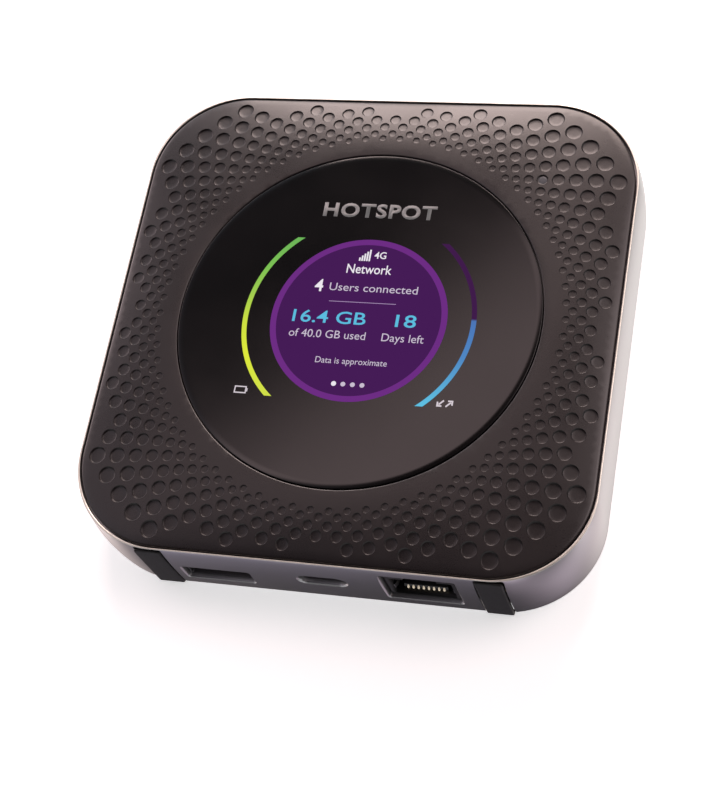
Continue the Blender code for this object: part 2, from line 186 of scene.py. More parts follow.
# ============================================================ materials
def plastic(name, rgb, rough, grain=0.02, grain_scale=9000.0, spread=0.12,
            spec=0.5, blotch=90.0):
    """Moulded plastic: fine spark-eroded grain, faint colour variation."""
    m, nt, b = new_mat(name)
    v = coord(nt)
    fine = noise(nt, v, grain_scale, 3.0, 0.6)
    soft = noise(nt, v, blotch, 3.0, 0.5)
    lo = tuple(c * (1 - spread) for c in rgb)
    hi = tuple(min(1.0, c * (1 + spread)) for c in rgb)
    link(nt, ramp(nt, soft, [(0.3, lo), (0.7, hi)]), b.inputs["Base Color"])
    mix = maths(nt, 'ADD', maths(nt, 'MULTIPLY', fine, 0.6),
                maths(nt, 'MULTIPLY', soft, 0.4))
    link(nt, span(nt, mix, rough - 0.06, rough + 0.06, 0.35, 0.65),
         b.inputs["Roughness"])
    b.inputs["Specular IOR Level"].default_value = spec
    bump(nt, b, fine, grain, 0.6)
    return m


def metal(name, rgb, rough, scratch=0.05, along=(1, 1, 1)):
    m, nt, b = new_mat(name)
    tc = nt.nodes.new("ShaderNodeTexCoord")
    mp = nt.nodes.new("ShaderNodeMapping")
    mp.inputs["Scale"].default_value = along
    link(nt, tc.outputs["Object"], mp.inputs["Vector"])
    n = noise(nt, mp.outputs["Vector"], 2500.0, 4.0, 0.6)
    lo = tuple(c * 0.88 for c in rgb)
    link(nt, ramp(nt, n, [(0.35, lo), (0.65, rgb)]), b.inputs["Base Color"])
    link(nt, span(nt, n, rough - 0.06, rough + 0.1, 0.3, 0.7),
         b.inputs["Roughness"])
    b.inputs["Metallic"].default_value = 1.0
    bump(nt, b, n, 0.01, scratch * 10)
    return m


def glow(name, rgb255, strength=1.0, stops=None):
    """A lit area of the display: emission only, so that it reads as light."""
    m, nt, b = new_mat(name)
    b.inputs["Base Color"].default_value = (0, 0, 0, 1)
    b.inputs["Roughness"].default_value = 1.0
    b.inputs["Specular IOR Level"].default_value = 0.0
    b.inputs["Emission Strength"].default_value = strength
    if stops is None:
        b.inputs["Emission Color"].default_value = (*lin(*rgb255), 1.0)
    else:
        tc = nt.nodes.new("ShaderNodeTexCoord")
        sep = nt.nodes.new("ShaderNodeSeparateXYZ")
        link(nt, tc.outputs["Object"], sep.inputs[0])
        f = span(nt, sep.outputs["Y"], 0.0, 1.0, -20.0 * MM, 20.0 * MM)
        link(nt, ramp(nt, f, [((y + 20) / 40, lin(*c)) for y, c in stops]),
             b.inputs["Emission Color"])
    return m


M = {}
M["face"] = plastic("face_plastic", (0.0140, 0.0115, 0.0118), 0.31, 0.004,
                    7000.0, 0.05, 0.5, 60.0)

# Side band: satin metallic paint over plastic, tiny flake.
m, nt, b = new_mat("band_paint")
v = coord(nt)
flake = voronoi(nt, v, 9000.0)
soft = noise(nt, v, 70.0, 2.0)
link(nt, ramp(nt, soft, [(0.3, (0.405, 0.400, 0.410)),
                         (0.7, (0.430, 0.425, 0.435))]),
     b.inputs["Base Color"])
b.inputs["Metallic"].default_value = 0.93
link(nt, span(nt, flake, 0.27, 0.33, 0.0, 1.0), b.inputs["Roughness"])
bump(nt, b, flake, 0.002, 0.25)
M["band"] = m

# The bright bevelled lip round the face: bare warm metal tone.
m, nt, b = new_mat("band_rim")
v = coord(nt)
n = noise(nt, v, 300.0)
link(nt, ramp(nt, n, [(0.35, (0.70, 0.680, 0.610)), (0.65, (0.75, 0.725, 0.650))]),
     b.inputs["Base Color"])
b.inputs["Metallic"].default_value = 0.7
link(nt, span(nt, n, 0.30, 0.36, 0.3, 0.7), b.inputs["Roughness"])
M["rim"] = m

# Lens: black glass-like acrylic with the faintest haze.
m, nt, b = new_mat("lens_black")
v = coord(nt)
n = noise(nt, v, 55.0, 3.0)
link(nt, ramp(nt, n, [(0.3, (0.0030, 0.0028, 0.0030)),
                      (0.7, (0.0042, 0.0038, 0.0040))]),
     b.inputs["Base Color"])
link(nt, span(nt, n, 0.10, 0.13, 0.3, 0.7), b.inputs["Roughness"])
b.inputs["IOR"].default_value = 1.5
M["lens"] = m

M["rubber"] = plastic("flap_rubber", (0.0085, 0.0080, 0.0085), 0.62, 0.02,
                      5000.0, 0.15, 0.35, 400.0)
M["foot"] = plastic("foot_rubber", (0.014, 0.014, 0.015), 0.8, 0.03, 3500.0,
                    0.15, 0.3, 400.0)
M["cover"] = plastic("cover_plastic", (0.040, 0.037, 0.040), 0.55, 0.02,
                     5500.0, 0.06, 0.5, 80.0)
M["frame"] = plastic("frame_plastic", (0.045, 0.045, 0.050), 0.55, 0.015,
                     4000.0, 0.08)
M["port"] = plastic("port_plastic", (0.006, 0.006, 0.0065), 0.42, 0.008,
                    6000.0, 0.12, 0.5, 500.0)
M["steel"] = metal("port_steel", (0.52, 0.52, 0.53), 0.32)
# Steel darkened to near black: painted shade for the insides of the port openings,
# where the sleeves and jack springs sit.
M["steel_painted_recess_shade"] = metal("steel_painted_recess_shade", (0.16, 0.155, 0.16), 0.38)
M["gold"] = metal("contact_gold", (0.95, 0.70, 0.30), 0.22, 0.02)
M["button"] = plastic("button_plastic", (0.11, 0.10, 0.115), 0.38, 0.006,
                      8000.0, 0.06)
M["card"] = plastic("card_plastic", (0.72, 0.72, 0.74), 0.45, 0.006, 5000.0,
                    0.04)
M["screen_back"] = plastic("screen_module", (0.02, 0.02, 0.022), 0.25, 0.002,
                           3000.0, 0.1)

# Circuit board: solder mask with faint copper routing under it.
m, nt, b = new_mat("board_mask")
v = coord(nt)
tc = nt.nodes.new("ShaderNodeTexVoronoi")
tc.distance = 'MANHATTAN'
tc.feature = 'F1'
tc.inputs["Scale"].default_value = 420.0
link(nt, v, tc.inputs["Vector"])
link(nt, ramp(nt, tc.outputs["Distance"], [
    (0.0, (0.010, 0.075, 0.036)), (0.45, (0.012, 0.088, 0.042)),
    (0.52, (0.022, 0.140, 0.060)), (1.0, (0.010, 0.070, 0.034))]),
     b.inputs["Base Color"])
b.inputs["Roughness"].default_value = 0.35
b.inputs["Coat Weight"].default_value = 0.4
bump(nt, b, tc.outputs["Distance"], 0.02, 0.5)
M["board"] = m

# Battery: dark heat-shrunk film with a plain paler panel across it.
m, nt, b = new_mat("battery_film")
tcn = nt.nodes.new("ShaderNodeTexCoord")
sep = nt.nodes.new("ShaderNodeSeparateXYZ")
link(nt, tcn.outputs["Object"], sep.inputs[0])
fx = maths(nt, 'ABSOLUTE', maths(nt, 'ADD', sep.outputs["X"], 10.0 * MM))
fy = maths(nt, 'ABSOLUTE', maths(nt, 'ADD', sep.outputs["Y"], -7.0 * MM))
inx = maths(nt, 'LESS_THAN', fx, 30.0 * MM)
iny = maths(nt, 'LESS_THAN', fy, 24.0 * MM)
panel = maths(nt, 'MULTIPLY', inx, iny)
n = noise(nt, coord(nt), 900.0)
mixn = nt.nodes.new("ShaderNodeMix")
mixn.data_type = 'RGBA'
link(nt, panel, mixn.inputs[0])
link(nt, ramp(nt, n, [(0.3, (0.022, 0.022, 0.024)), (0.7, (0.030, 0.030, 0.032))]),
     mixn.inputs[6])
mixn.inputs[7].default_value = (0.11, 0.11, 0.115, 1)
link(nt, mixn.outputs[2], b.inputs["Base Color"])
link(nt, span(nt, n, 0.34, 0.46, 0.3, 0.7), b.inputs["Roughness"])
bump(nt, b, n, 0.02, 0.4)
M["battery"] = m

M["purple"] = glow("ui_disc", (69, 28, 86))
M["purple_ring"] = glow("ui_ring", (109, 45, 131))
M["ui_white"] = glow("ui_white", (238, 232, 240))
M["ui_pale"] = glow("ui_pale", (202, 190, 208))
M["ui_blue"] = glow("ui_blue", (92, 188, 222))
M["ui_lilac"] = glow("ui_lilac", (176, 150, 190))
M["ui_icon"] = glow("ui_icon", (214, 204, 212))
M["arc_left"] = glow("ui_arc_left", None, 1.0, [
    (-20, (206, 221, 76)), (-10, (222, 233, 60)), (-3, (205, 224, 66)),
    (4, (158, 203, 80)), (10, (124, 192, 84)), (18, (106, 178, 90))])
M["arc_right"] = glow("ui_arc_right", None, 1.0, [
    (-20, (96, 200, 232)), (-14, (90, 168, 212)), (-8, (80, 136, 196)),
    (-1, (76, 120, 186)), (0.2, (76, 116, 180)), (0.6, (64, 28, 75)),
    (19, (64, 28, 75))])
M["led"] = plastic("led_window", (0.040, 0.046, 0.056), 0.35, 0.002, 4000.0, 0.05,
                   0.5, 300.0)

# Printed silver mark. Its small emission is painted light that keeps the print bright
# where the lamps leave it dark.
m, nt, b = new_mat("silver_mark_painted_glow")
v = coord(nt)
n = noise(nt, v, 900.0)
link(nt, ramp(nt, n, [(0.3, (0.115, 0.110, 0.112)), (0.7, (0.135, 0.129, 0.131))]),
     b.inputs["Base Color"])
b.inputs["Roughness"].default_value = 0.55
b.inputs["Specular IOR Level"].default_value = 0.2
b.inputs["Emission Color"].default_value = (0.98, 0.93, 0.92, 1.0)
b.inputs["Emission Strength"].default_value = 0.125
M["mark"] = m

# Contact wires: gold, a little light of their own so that the small bends
# read inside the dark jack.
m = metal("contact_gold", (0.95, 0.80, 0.55), 0.30, 0.02)
b = m.node_tree.nodes["Principled BSDF"]
b.inputs["Emission Color"].default_value = (1.0, 0.86, 0.70, 1.0)
b.inputs["Emission Strength"].default_value = 0.34
M["contact"] = m


# ============================================================ mesh helpers
def add(me, name, mat, body, smooth=True, angle=30.0):
    o = bpy.data.objects.new(name, me)
    bpy.context.scene.collection.objects.link(o)
    if mat is not None:
        me.materials.append(mat)
    if smooth:
        me.shade_smooth()
        me.set_sharp_from_angle(angle=math.radians(angle))
    if body:
        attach(o, body)
    return o


def bm_mesh(bm, name, recalc=True):
    if recalc:
        bmesh.ops.recalc_face_normals(bm, faces=bm.faces)
    me = bpy.data.meshes.new(name)
    bm.to_mesh(me)
    bm.free()
    return me


def outline(hx, hy, r, nc=24, ns=24, cx=0.0, cy=0.0):
    """Rounded rectangle, counter-clockwise from (+X, corner arc start)."""
    pts = []
    quads = ((1, 1), (-1, 1), (-1, -1), (1, -1))
    for q, (sx, sy) in enumerate(quads):
        ox, oy = sx * (hx - r), sy * (hy - r)
        for k in range(nc + 1):
            a = math.radians(90 * q + 90 * k / nc)
            pts.append((ox + r * math.cos(a), oy + r * math.sin(a)))
        nx, ny = quads[(q + 1) % 4]
        a1 = math.radians(90 * (q + 1))
        p0 = pts[-1]
        p1 = (nx * (hx - r) + r * math.cos(a1), ny * (hy - r) + r * math.sin(a1))
        for k in range(1, ns):
            t = k / ns
            pts.append((p0[0] + (p1[0] - p0[0]) * t, p0[1] + (p1[1] - p0[1]) * t))
    return [(x + cx, y + cy) for x, y in pts]


def loft_bm(bm, rings, closed=False, caps=True):
    rows = [[bm.verts.new((p[0] * MM, p[1] * MM, p[2] * MM)) for p in r]
            for r in rings]
    n = len(rows[0])
    for i in range(len(rows) if closed else len(rows) - 1):
        a, b2 = rows[i], rows[(i + 1) % len(rows)]
        for j in range(n):
            bm.faces.new((a[j], a[(j + 1) % n], b2[(j + 1) % n], b2[j]))
    if caps and not closed:
        bm.faces.new(rows[0])
        bm.faces.new(rows[-1])
    return rows


def flat(pts, z):
    return [(x, y, z) for x, y in pts]


def boolean(o, cutters, op='DIFFERENCE'):
    """Apply Boolean cuts in one go and drop the cutters."""
    for c in cutters:
        md = o.modifiers.new("b", 'BOOLEAN')
        md.operation = op
        md.solver = 'EXACT'
        md.object = c
    bpy.context.view_layer.update()
    dg = bpy.context.evaluated_depsgraph_get()
    me = bpy.data.meshes.new_from_object(o.evaluated_get(dg))
    o.modifiers.clear()
    old = o.data
    o.data = me
    bpy.data.meshes.remove(old)
    for c in cutters:
        bpy.data.objects.remove(c, do_unlink=True)
    return o


def temp(me):
    o = bpy.data.objects.new("tmp", me)
    bpy.context.scene.collection.objects.link(o)
    return o


def block(name, x, y, z, mat, body, r=0.2, segs=2, angle=30.0):
    """A box with rounded edges."""
    bm = bmesh.new()
    bmesh.ops.create_cube(bm, size=1.0)
    c = [(a + b2) / 2 for a, b2 in (x, y, z)]
    s = [b2 - a for a, b2 in (x, y, z)]
    for vv in bm.verts:
        vv.co = Vector([(vv.co[i] * s[i] + c[i]) * MM for i in range(3)])
    if r:
        bmesh.ops.bevel(bm, geom=bm.edges[:], offset=r * MM, segments=segs,
                        profile=0.5, affect='EDGES', clamp_overlap=True)
    me = bm_mesh(bm, name)
    return add(me, name, mat, body, True, angle)


def prism_y(shape, ys, grow):
    """Prism along Y through (y, outward growth) stations; shape(g) gives the
    XZ outline grown by g."""
    bm = bmesh.new()
    rings = [[(px, y, pz) for px, pz in shape(g)] for y, g in zip(ys, grow)]
    loft_bm(bm, rings)
    return bm_mesh(bm, "cut")


def rect_xz(cx, cz, w, h, r, nc=6):
    def f(g):
        rr = max(0.02, r + g)
        return [(cx + px, cz + pz) for px, pz in
                outline(w / 2 + g, h / 2 + g, rr, nc, 2)]
    return f


# ============================================================ face plate
def r_out(theta, h=FACE_H, r=FACE_R):
    """Polar radius of the rounded square outline."""
    t = np.abs((theta + np.pi / 4) % (np.pi / 2) - np.pi / 4)
    straight = h / np.cos(t)
    c = h - r
    y_hit = straight * np.sin(t)
    d = c * (np.cos(t) + np.sin(t))
    disc = np.maximum(d * d - 2 * c * c + r * r, 0)
    return np.where(y_hit > c, d + np.sqrt(disc), straight)


def dome_z(x, y):
    rho = np.hypot(x, y)
    t = (rho - LENS_HOLE) / (r_out(np.arctan2(y, x)) - LENS_HOLE)
    t = np.clip(t, 0, 1)
    return TOP - DOME * t * t


# Dimple field: eight staggered rings at 5 degrees, filling out to the corners.
RING_R = [0.8137, 0.8381, 0.8719, 0.9102, 0.9589, 1.0125, 1.0758, 1.1466]
RING_D = [0.0145, 0.0165, 0.0200, 0.0235, 0.0262, 0.0290, 0.0325, 0.0355]
RING_HALF = [45, 45, 45, 45, 37.5, 25, 12.5, 10]
dimples = []
for q in range(4):
    diag = 45 + 90 * q
    for k in range(8):
        first = 2.5 if k % 2 == 0 else 0.0
        j = -12
        while j <= 12:
            a = first + 5 * j
            j += 1
            if abs(a) > RING_HALF[k] + 1e-6:
                continue
            if k < 4 and a <= -45 + 1e-9:
                continue
            th = math.radians(diag + a)
            dimples.append((RING_R[k] * UNIT * math.cos(th),
                            RING_R[k] * UNIT * math.sin(th),
                            RING_D[k] * UNIT, k,
                            k == 3 and q == 0 and abs(a) < 1e-6))
print("dimples", len(dimples))

# Section of a dimple, as (fraction of its radius, fraction of its depth): a
# crisp rim, a steep wall, a fillet and an almost flat floor.
DIMPLE_Q = [1.0, 0.99, 0.885, 0.862, 0.842, 0.815, 0.42, 0.0]
DIMPLE_D = [0.0, 0.055, 0.77, 0.867, 0.91, 0.935, 0.987, 1.0]


def dimple_depth(r):
    return 0.20 * r + 0.045


def dimple_p(q):
    return -np.interp(q, DIMPLE_Q[::-1], DIMPLE_D[::-1])


def seg_of(ring):
    return 16 if ring < 3 else 24 if ring < 5 else 28


def build_face():
    NC, NS = 30, 34
    out_b = outline(FACE_H - 0.5, FACE_H - 0.5, FACE_R - 0.5, NC, NS)
    ang = [math.atan2(y, x) for x, y in outline(FACE_H, FACE_H, FACE_R, NC, NS)]
    n = len(ang)
    in_a = [((LENS_HOLE + 0.25) * math.cos(a), (LENS_HOLE + 0.25) * math.sin(a))
            for a in ang]
    verts, edges = [], []

    def loop(pts):
        s = len(verts)
        verts.extend(Vector(p) for p in pts)
        edges.extend((s + i, s + (i + 1) % len(pts)) for i in range(len(pts)))

    loop(in_a)
    loop(out_b)
    for cx, cy, r, k, led in dimples:
        seg = seg_of(k)
        loop([(cx + r * math.cos(2 * math.pi * i / seg),
               cy + r * math.sin(2 * math.pi * i / seg)) for i in range(seg)])
    centres = np.array([(d[0], d[1]) for d in dimples])
    radii = np.array([d[2] for d in dimples])
    step = 1.25
    row = 0
    y = -FACE_H
    while y < FACE_H:
        x = -FACE_H + (0.5 * step if row % 2 else 0)
        while x < FACE_H:
            rho = math.hypot(x, y)
            if (rho > LENS_HOLE + 1.0 and
                    rho < float(r_out(np.array(math.atan2(y, x)),
                                      FACE_H - 1.15, FACE_R - 1.15))):
                d = np.hypot(centres[:, 0] - x, centres[:, 1] - y) - radii
                if d.min() > 0.42:
                    verts.append(Vector((x, y)))
            x += step
        y += step * 0.866
        row += 1
    vo, eo, fo, *_ = delaunay_2d_cdt(verts, edges, [], 0, 1e-5)
    P = np.array([(p.x, p.y) for p in vo])
    F = np.array([f for f in fo if len(f) == 3])
    C = P[F].mean(1)
    rho = np.hypot(C[:, 0], C[:, 1])
    keep = rho > (LENS_HOLE + 0.25) * math.cos(math.pi / n) - 0.004
    keep &= rho < r_out(np.arctan2(C[:, 1], C[:, 0]), FACE_H - 0.5, FACE_R - 0.5)
    for (cx, cy, r, k, led) in dimples:
        seg = seg_of(k)
        keep &= np.hypot(C[:, 0] - cx, C[:, 1] - cy) > r * math.cos(math.pi / seg)
    F = F[keep]
    # orient counter-clockwise
    a, b2, c2 = P[F[:, 0]], P[F[:, 1]], P[F[:, 2]]
    flip = ((b2 - a)[:, 0] * (c2 - a)[:, 1] - (b2 - a)[:, 1] * (c2 - a)[:, 0]) < 0
    F[flip] = F[flip][:, ::-1]
    Z = dome_z(P[:, 0], P[:, 1])
    V = [np.column_stack([P, Z])]
    faces = [tuple(int(i) for i in f) for f in F]
    base = len(P)
    # dimples
    for cx, cy, r, k, led in dimples:
        seg = seg_of(k)
        qs = DIMPLE_Q[:-1]
        th = 2 * np.pi * np.arange(seg) / seg
        start = base
        for q in qs:
            x = cx + r * q * np.cos(th)
            y = cy + r * q * np.sin(th)
            z = dome_z(x, y) + dimple_depth(r) * dimple_p(np.full(seg, q))
            V.append(np.column_stack([x, y, z]))
        V.append(np.array([[cx, cy, float(dome_z(np.array(cx), np.array(cy)))
                            + dimple_depth(r) * float(dimple_p(np.array(0.0)))]]))
        for i in range(len(qs) - 1):
            for j in range(seg):
                j2 = (j + 1) % seg
                faces.append((start + i * seg + j, start + i * seg + j2,
                              start + (i + 1) * seg + j2,
                              start + (i + 1) * seg + j))
        c_i = start + len(qs) * seg
        for j in range(seg):
            faces.append((start + (len(qs) - 1) * seg + j,
                          start + (len(qs) - 1) * seg + (j + 1) % seg, c_i))
        base = c_i + 1
    # rim, skirt, underside and lens seat, one ring of n points at a time
    def o_ring(d, z):
        return np.array([(x, y, z) for x, y in
                         outline(FACE_H - d, FACE_H - d, FACE_R - d, NC, NS)])

    def o_dome(d, dz):
        pts = outline(FACE_H - d, FACE_H - d, FACE_R - d, NC, NS)
        xy = np.array(pts)
        return np.column_stack([xy, dome_z(xy[:, 0], xy[:, 1]) - dz])

    def c_ring(r, z):
        return np.array([(r * math.cos(t), r * math.sin(t), z) for t in ang])

    def mid(t, dz):
        o2 = np.array(outline(FACE_H, FACE_H, FACE_R, NC, NS))
        c3 = c_ring(LENS_HOLE, 0)[:, :2]
        xy = c3 + (o2 - c3) * t
        return np.column_stack([xy, np.full(n, TOP - DOME * t * t - dz)])

    rim = TOP - DOME
    rings = [o_dome(0.5, 0.0)]
    for aa in (20, 40, 60, 78, 90):
        s = math.radians(aa)
        rings.append(o_ring(0.34 * (1 - math.sin(s)), rim - 0.34 * (1 - math.cos(s))))
    rings += [o_ring(0.0, 17.6), o_ring(0.0, 17.05), o_ring(0.15, 16.9),
              o_ring(1.3, 16.9), o_ring(1.3, 17.3), mid(0.75, 1.3), mid(0.4, 1.3),
              c_ring(LENS_HOLE + 1.3, TOP - 1.32), c_ring(LENS_HOLE + 1.3, 17.65),
              c_ring(33.0, 17.65), c_ring(33.0, 18.95), c_ring(LENS_HOLE, 18.95),
              c_ring(LENS_HOLE, TOP - 0.20), c_ring(LENS_HOLE + 0.03, TOP - 0.09),
              c_ring(LENS_HOLE + 0.11, TOP - 0.025), c_ring(LENS_HOLE + 0.25, TOP)]
    s0 = base
    for rg in rings:
        V.append(rg)
    for i in range(len(rings) - 1):
        for j in range(n):
            j2 = (j + 1) % n
            faces.append((s0 + i * n + j, s0 + (i + 1) * n + j,
                          s0 + (i + 1) * n + j2, s0 + i * n + j2))
    V = np.vstack(V)
    bm = bmesh.new()
    vs = [bm.verts.new((x * MM, y * MM, z * MM)) for x, y, z in V]
    bm.verts.ensure_lookup_table()
    for f in faces:
        try:
            bm.faces.new([vs[i] for i in f])
        except ValueError:
            pass
    bmesh.ops.remove_doubles(bm, verts=bm.verts, dist=3e-6)
    me = bm_mesh(bm, "face_plate")
    print("face plate faces", len(me.polygons))
    return me


face = add(build_face(), "face_plate", M["face"], "housing", True, 34.0)
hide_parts("front_face_plate")

# LED: a small frosted window in the floor of one dimple.
for cx, cy, r, k, led in dimples:
    if led:
        bm = bmesh.new()
        zf = float(dome_z(np.array(cx), np.array(cy))) - dimple_depth(r)
        rings = []
        for rr, dz in ((0.90, -0.15), (0.90, 0.01), (0.87, 0.035), (0.75, 0.05),
                       (0.35, 0.06)):
            rings.append([(cx + rr * math.cos(t), cy + rr * math.sin(t), zf + dz)
                          for t in np.linspace(0, 2 * np.pi, 32, endpoint=False)])
        loft_bm(bm, rings)
        led_o = add(bm_mesh(bm, "status_led_window"), "status_led_window",
                    M["led"], "housing", True, 40)


# ============================================================ lens
def disc_rings(cx, cy, prof, n=256):
    th = np.linspace(0, 2 * np.pi, n, endpoint=False)
    return [[(cx + r * math.cos(t), cy + r * math.sin(t), z) for t in th]
            for r, z in prof]


bm = bmesh.new()
loft_bm(bm, disc_rings(0, 0, [
    (37.1, 19.26), (37.26, 19.35), (37.26, 20.27), (37.25, 20.315),
    (37.22, 20.34), (37.18, TOP), (36.0, TOP)]))
lens = add(bm_mesh(bm, "lens_glass"), "lens_glass", M["lens"], "housing", True,
           50)
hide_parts("lens_cover")
UI0 = TOP + 0.004


def ui_solid(name, polys, mat, z0=UI0, t=0.012):
    """Thin solid from 2D polygons (lists of points, counter-clockwise)."""
    bm = bmesh.new()
    for pts in polys:
        lo = [bm.verts.new((x * MM, y * MM, z0 * MM)) for x, y in pts]
        hi = [bm.verts.new((x * MM, y * MM, (z0 + t) * MM)) for x, y in pts]
        n = len(pts)
        for j in range(n):
            bm.faces.new((lo[j], lo[(j + 1) % n], hi[(j + 1) % n], hi[j]))
        bm.faces.new(list(reversed(lo)))
        bm.faces.new(hi)
    return add(bm_mesh(bm, name), name, mat, "housing", False)


def ui_strip(name, inner, outer, mat, closed, z0=UI0, t=0.012):
    """Thin solid between two polylines of equal length."""
    bm = bmesh.new()
    rows = []
    for pts, z in ((inner, z0), (outer, z0), (outer, z0 + t), (inner, z0 + t)):
        rows.append([bm.verts.new((x * MM, y * MM, z * MM)) for x, y in pts])
    n = len(inner)
    for k in range(4):
        a, b2 = rows[k], rows[(k + 1) % 4]
        for j in range(n if closed else n - 1):
            bm.faces.new((a[j], a[(j + 1) % n], b2[(j + 1) % n], b2[j]))
    if not closed:
        bm.faces.new([rows[k][0] for k in range(4)])
        bm.faces.new([rows[k][-1] for k in range(4)])
    return add(bm_mesh(bm, name), name, mat, "housing", False)


def circ(cx, cy, r, n=160):
    return [(cx + r * math.cos(2 * math.pi * i / n),
             cy + r * math.sin(2 * math.pi * i / n)) for i in range(n)]


DX, DY = 0.39, -0.82
ui_solid("ui_disc", [circ(DX, DY, 16.90)], M["purple"])
ui_strip("ui_disc_ring", circ(DX, DY, 16.92), circ(DX, DY, 18.17),
         M["purple_ring"], True)
AX, AY = {-1: 0.55, 1: 0.20}, -0.93
R0, R1 = 23.20, 24.22
YT, YB = 17.16, -18.83


def arc(side, r):
    """Arc of radius r, its ends cut along horizontal lines."""
    t1 = math.asin((YT - AY) / r)
    t0 = math.asin(max(-1, (YB - AY) / r))
    out = []
    for i in range(121):
        t = t0 + (t1 - t0) * i / 120
        out.append((AX[side] + side * r * math.cos(t), AY + r * math.sin(t)))
    return out


ui_strip("ui_arc_left", arc(-1, R0), arc(-1, R1), M["arc_left"], False)
ui_strip("ui_arc_right", arc(1, R0), arc(1, R1), M["arc_right"], False)

ZT = UI0 + 0.016      # text sits just above the disc


def text(name, body, x0, x1, y0, y1, mat, bold=0.0, spacing=1.0, cap=None):
    """Lettering fitted to a box; y0 is the baseline when cap is given as the
    cap height, otherwise the box is the ink's extent."""
    cu = bpy.data.curves.new(name, 'FONT')
    cu.body = body
    cu.size = 1.0
    cu.space_character = spacing
    cu.offset = bold
    cu.resolution_u = 4
    cu.extrude = 0.0
    o = bpy.data.objects.new(name, cu)
    bpy.context.scene.collection.objects.link(o)
    bpy.context.view_layer.update()
    dg = bpy.context.evaluated_depsgraph_get()
    me = bpy.data.meshes.new_from_object(o.evaluated_get(dg))
    bpy.data.objects.remove(o, do_unlink=True)
    co = np.array([vv.co for vv in me.vertices])
    lo, hi = co.min(0), co.max(0)
    if cap is None:
        sy = (y1 - y0) / (hi[1] - lo[1])
        oy = y0 - lo[1] * sy
    else:
        sy = cap / 0.70
        oy = y0
    sx = (x1 - x0) / (hi[0] - lo[0])
    for vv in me.vertices:
        vv.co = Vector(((x0 + (vv.co.x - lo[0]) * sx) * MM,
                        (oy + vv.co.y * sy) * MM, ZT * MM))
    me.materials.clear()
    bm = bmesh.new()
    bm.from_mesh(me)
    bmesh.ops.remove_doubles(bm, verts=bm.verts, dist=1e-7)
    g = bmesh.ops.extrude_face_region(bm, geom=bm.faces[:])
    for e in g["geom"]:
        if isinstance(e, bmesh.types.BMVert):
            e.co.z += 0.01 * MM
    bpy.data.meshes.remove(me)
    return add(bm_mesh(bm, name), name, mat, "housing", False)


def px(x):
    return (x - 749.5) * 0.07955


def py(y):
    return -(y - 749.5) * 0.07955 + 0.33


W_ = M["ui_white"]
text("ui_title", "Network", px(700), px(818), py(634), 0, W_, 0.006, cap=2.1)
text("ui_count", "4", px(625), px(647), py(691), py(656), W_, 0.018)
text("ui_users", "Users connected", px(664), px(895), py(686), 0, M["ui_pale"],
     0.0, cap=1.75)
text("ui_data", "16.4 GB", px(583), px(775), py(780), py(745), M["ui_blue"],
     0.008)
text("ui_days", "18", px(852), px(905), py(780), py(745), M["ui_blue"], 0.010)
text("ui_of", "of 40.0 GB used", px(582), px(782), py(821), 0, M["ui_pale"],
     0.0, cap=1.75)
text("ui_left", "Days left", px(824), px(932), py(821), 0, M["ui_pale"], 0.0,
     cap=1.75)
text("ui_note", "Data is approximate", px(665), px(850), py(890), 0,
     M["ui_pale"], 0.0, cap=1.35)
text("ui_net", "4G", px(766), px(797), py(590), py(570), W_, 0.01)
# The printed mark's material carries a faint painted glow.
mark = text("front_mark", "HOTSPOT", px(607), px(908), py(472), py(430),
            M["mark"], 0.034, 1.12)


def rect(x0, x1, y0, y1):
    return [(x0, y0), (x1, y0), (x1, y1), (x0, y1)]


ui_solid("ui_rule", [rect(px(670), px(845), 2.86, 2.98)], M["ui_lilac"], ZT)
bars = []
for i in range(5):
    x = px(727) + i * 0.50
    bars.append(rect(x, x + 0.34, py(598), py(598) + 0.75 + 0.47 * i))
ui_solid("ui_bars", bars, W_, ZT)
ui_solid("ui_page_dot", [circ(px(724), py(945), 0.52, 24)], W_, ZT)
ui_solid("ui_page_dots", [circ(px(748 + 24.5 * i), py(945), 0.50, 24)
                          for i in range(3)], M["ui_pale"], ZT)
bx, by = px(488) - 0.12, py(978) - 0.02
ui_strip("ui_battery", rect(bx - 1.02, bx + 1.02, by - 0.54, by + 0.54),
         rect(bx - 1.27, bx + 1.27, by - 0.79, by + 0.79), M["ui_icon"], True)
ui_solid("ui_battery_tip", [rect(bx + 1.31, bx + 1.50, by - 0.36, by + 0.36)],
         M["ui_icon"])
ax, ay = px(1010) + 0.12, py(978) - 0.04
arrows = []
for s in (1, -1):
    ox, t = ax + s * 0.90, 0.72
    arrows.append([(ox + s * x, ay + s * y) for x, y in (
        (t, t), (t - 1.05, t), (t - 1.02, t - 0.33), (t - 0.33, t - 0.33),
        (t - 0.33, t - 1.02), (t, t - 1.05))])
    arrows.append([(ox + s * x, ay + s * y) for x, y in (
        (0.40, 0.16), (0.16, 0.40), (-0.78, -0.54), (-0.54, -0.78))])
ui_solid("ui_arrows", arrows, M["ui_icon"])


# ============================================================ side band
def band_ring(d, z, corner=None, nc=40, ns=36):
    dy = d * BAND_Y / BAND_X if d > 0 else d
    r = FACE_R + 0.4 - 0.9 * max(d, 0.0) if corner is None else corner
    return flat(outline(FACE_H + d, FACE_H + dy, r, nc, ns), z)


PROFILE = [(0.32, 18.42), (0.34, 18.53), (0.40, 18.60), (0.52, 18.60),
           (0.60, 18.565), (0.645, 18.50), (0.66, 18.42), (0.655, 18.34),
           (0.62, 18.29), (0.565, 18.26), (0.555, 18.20), (0.585, 18.14)]
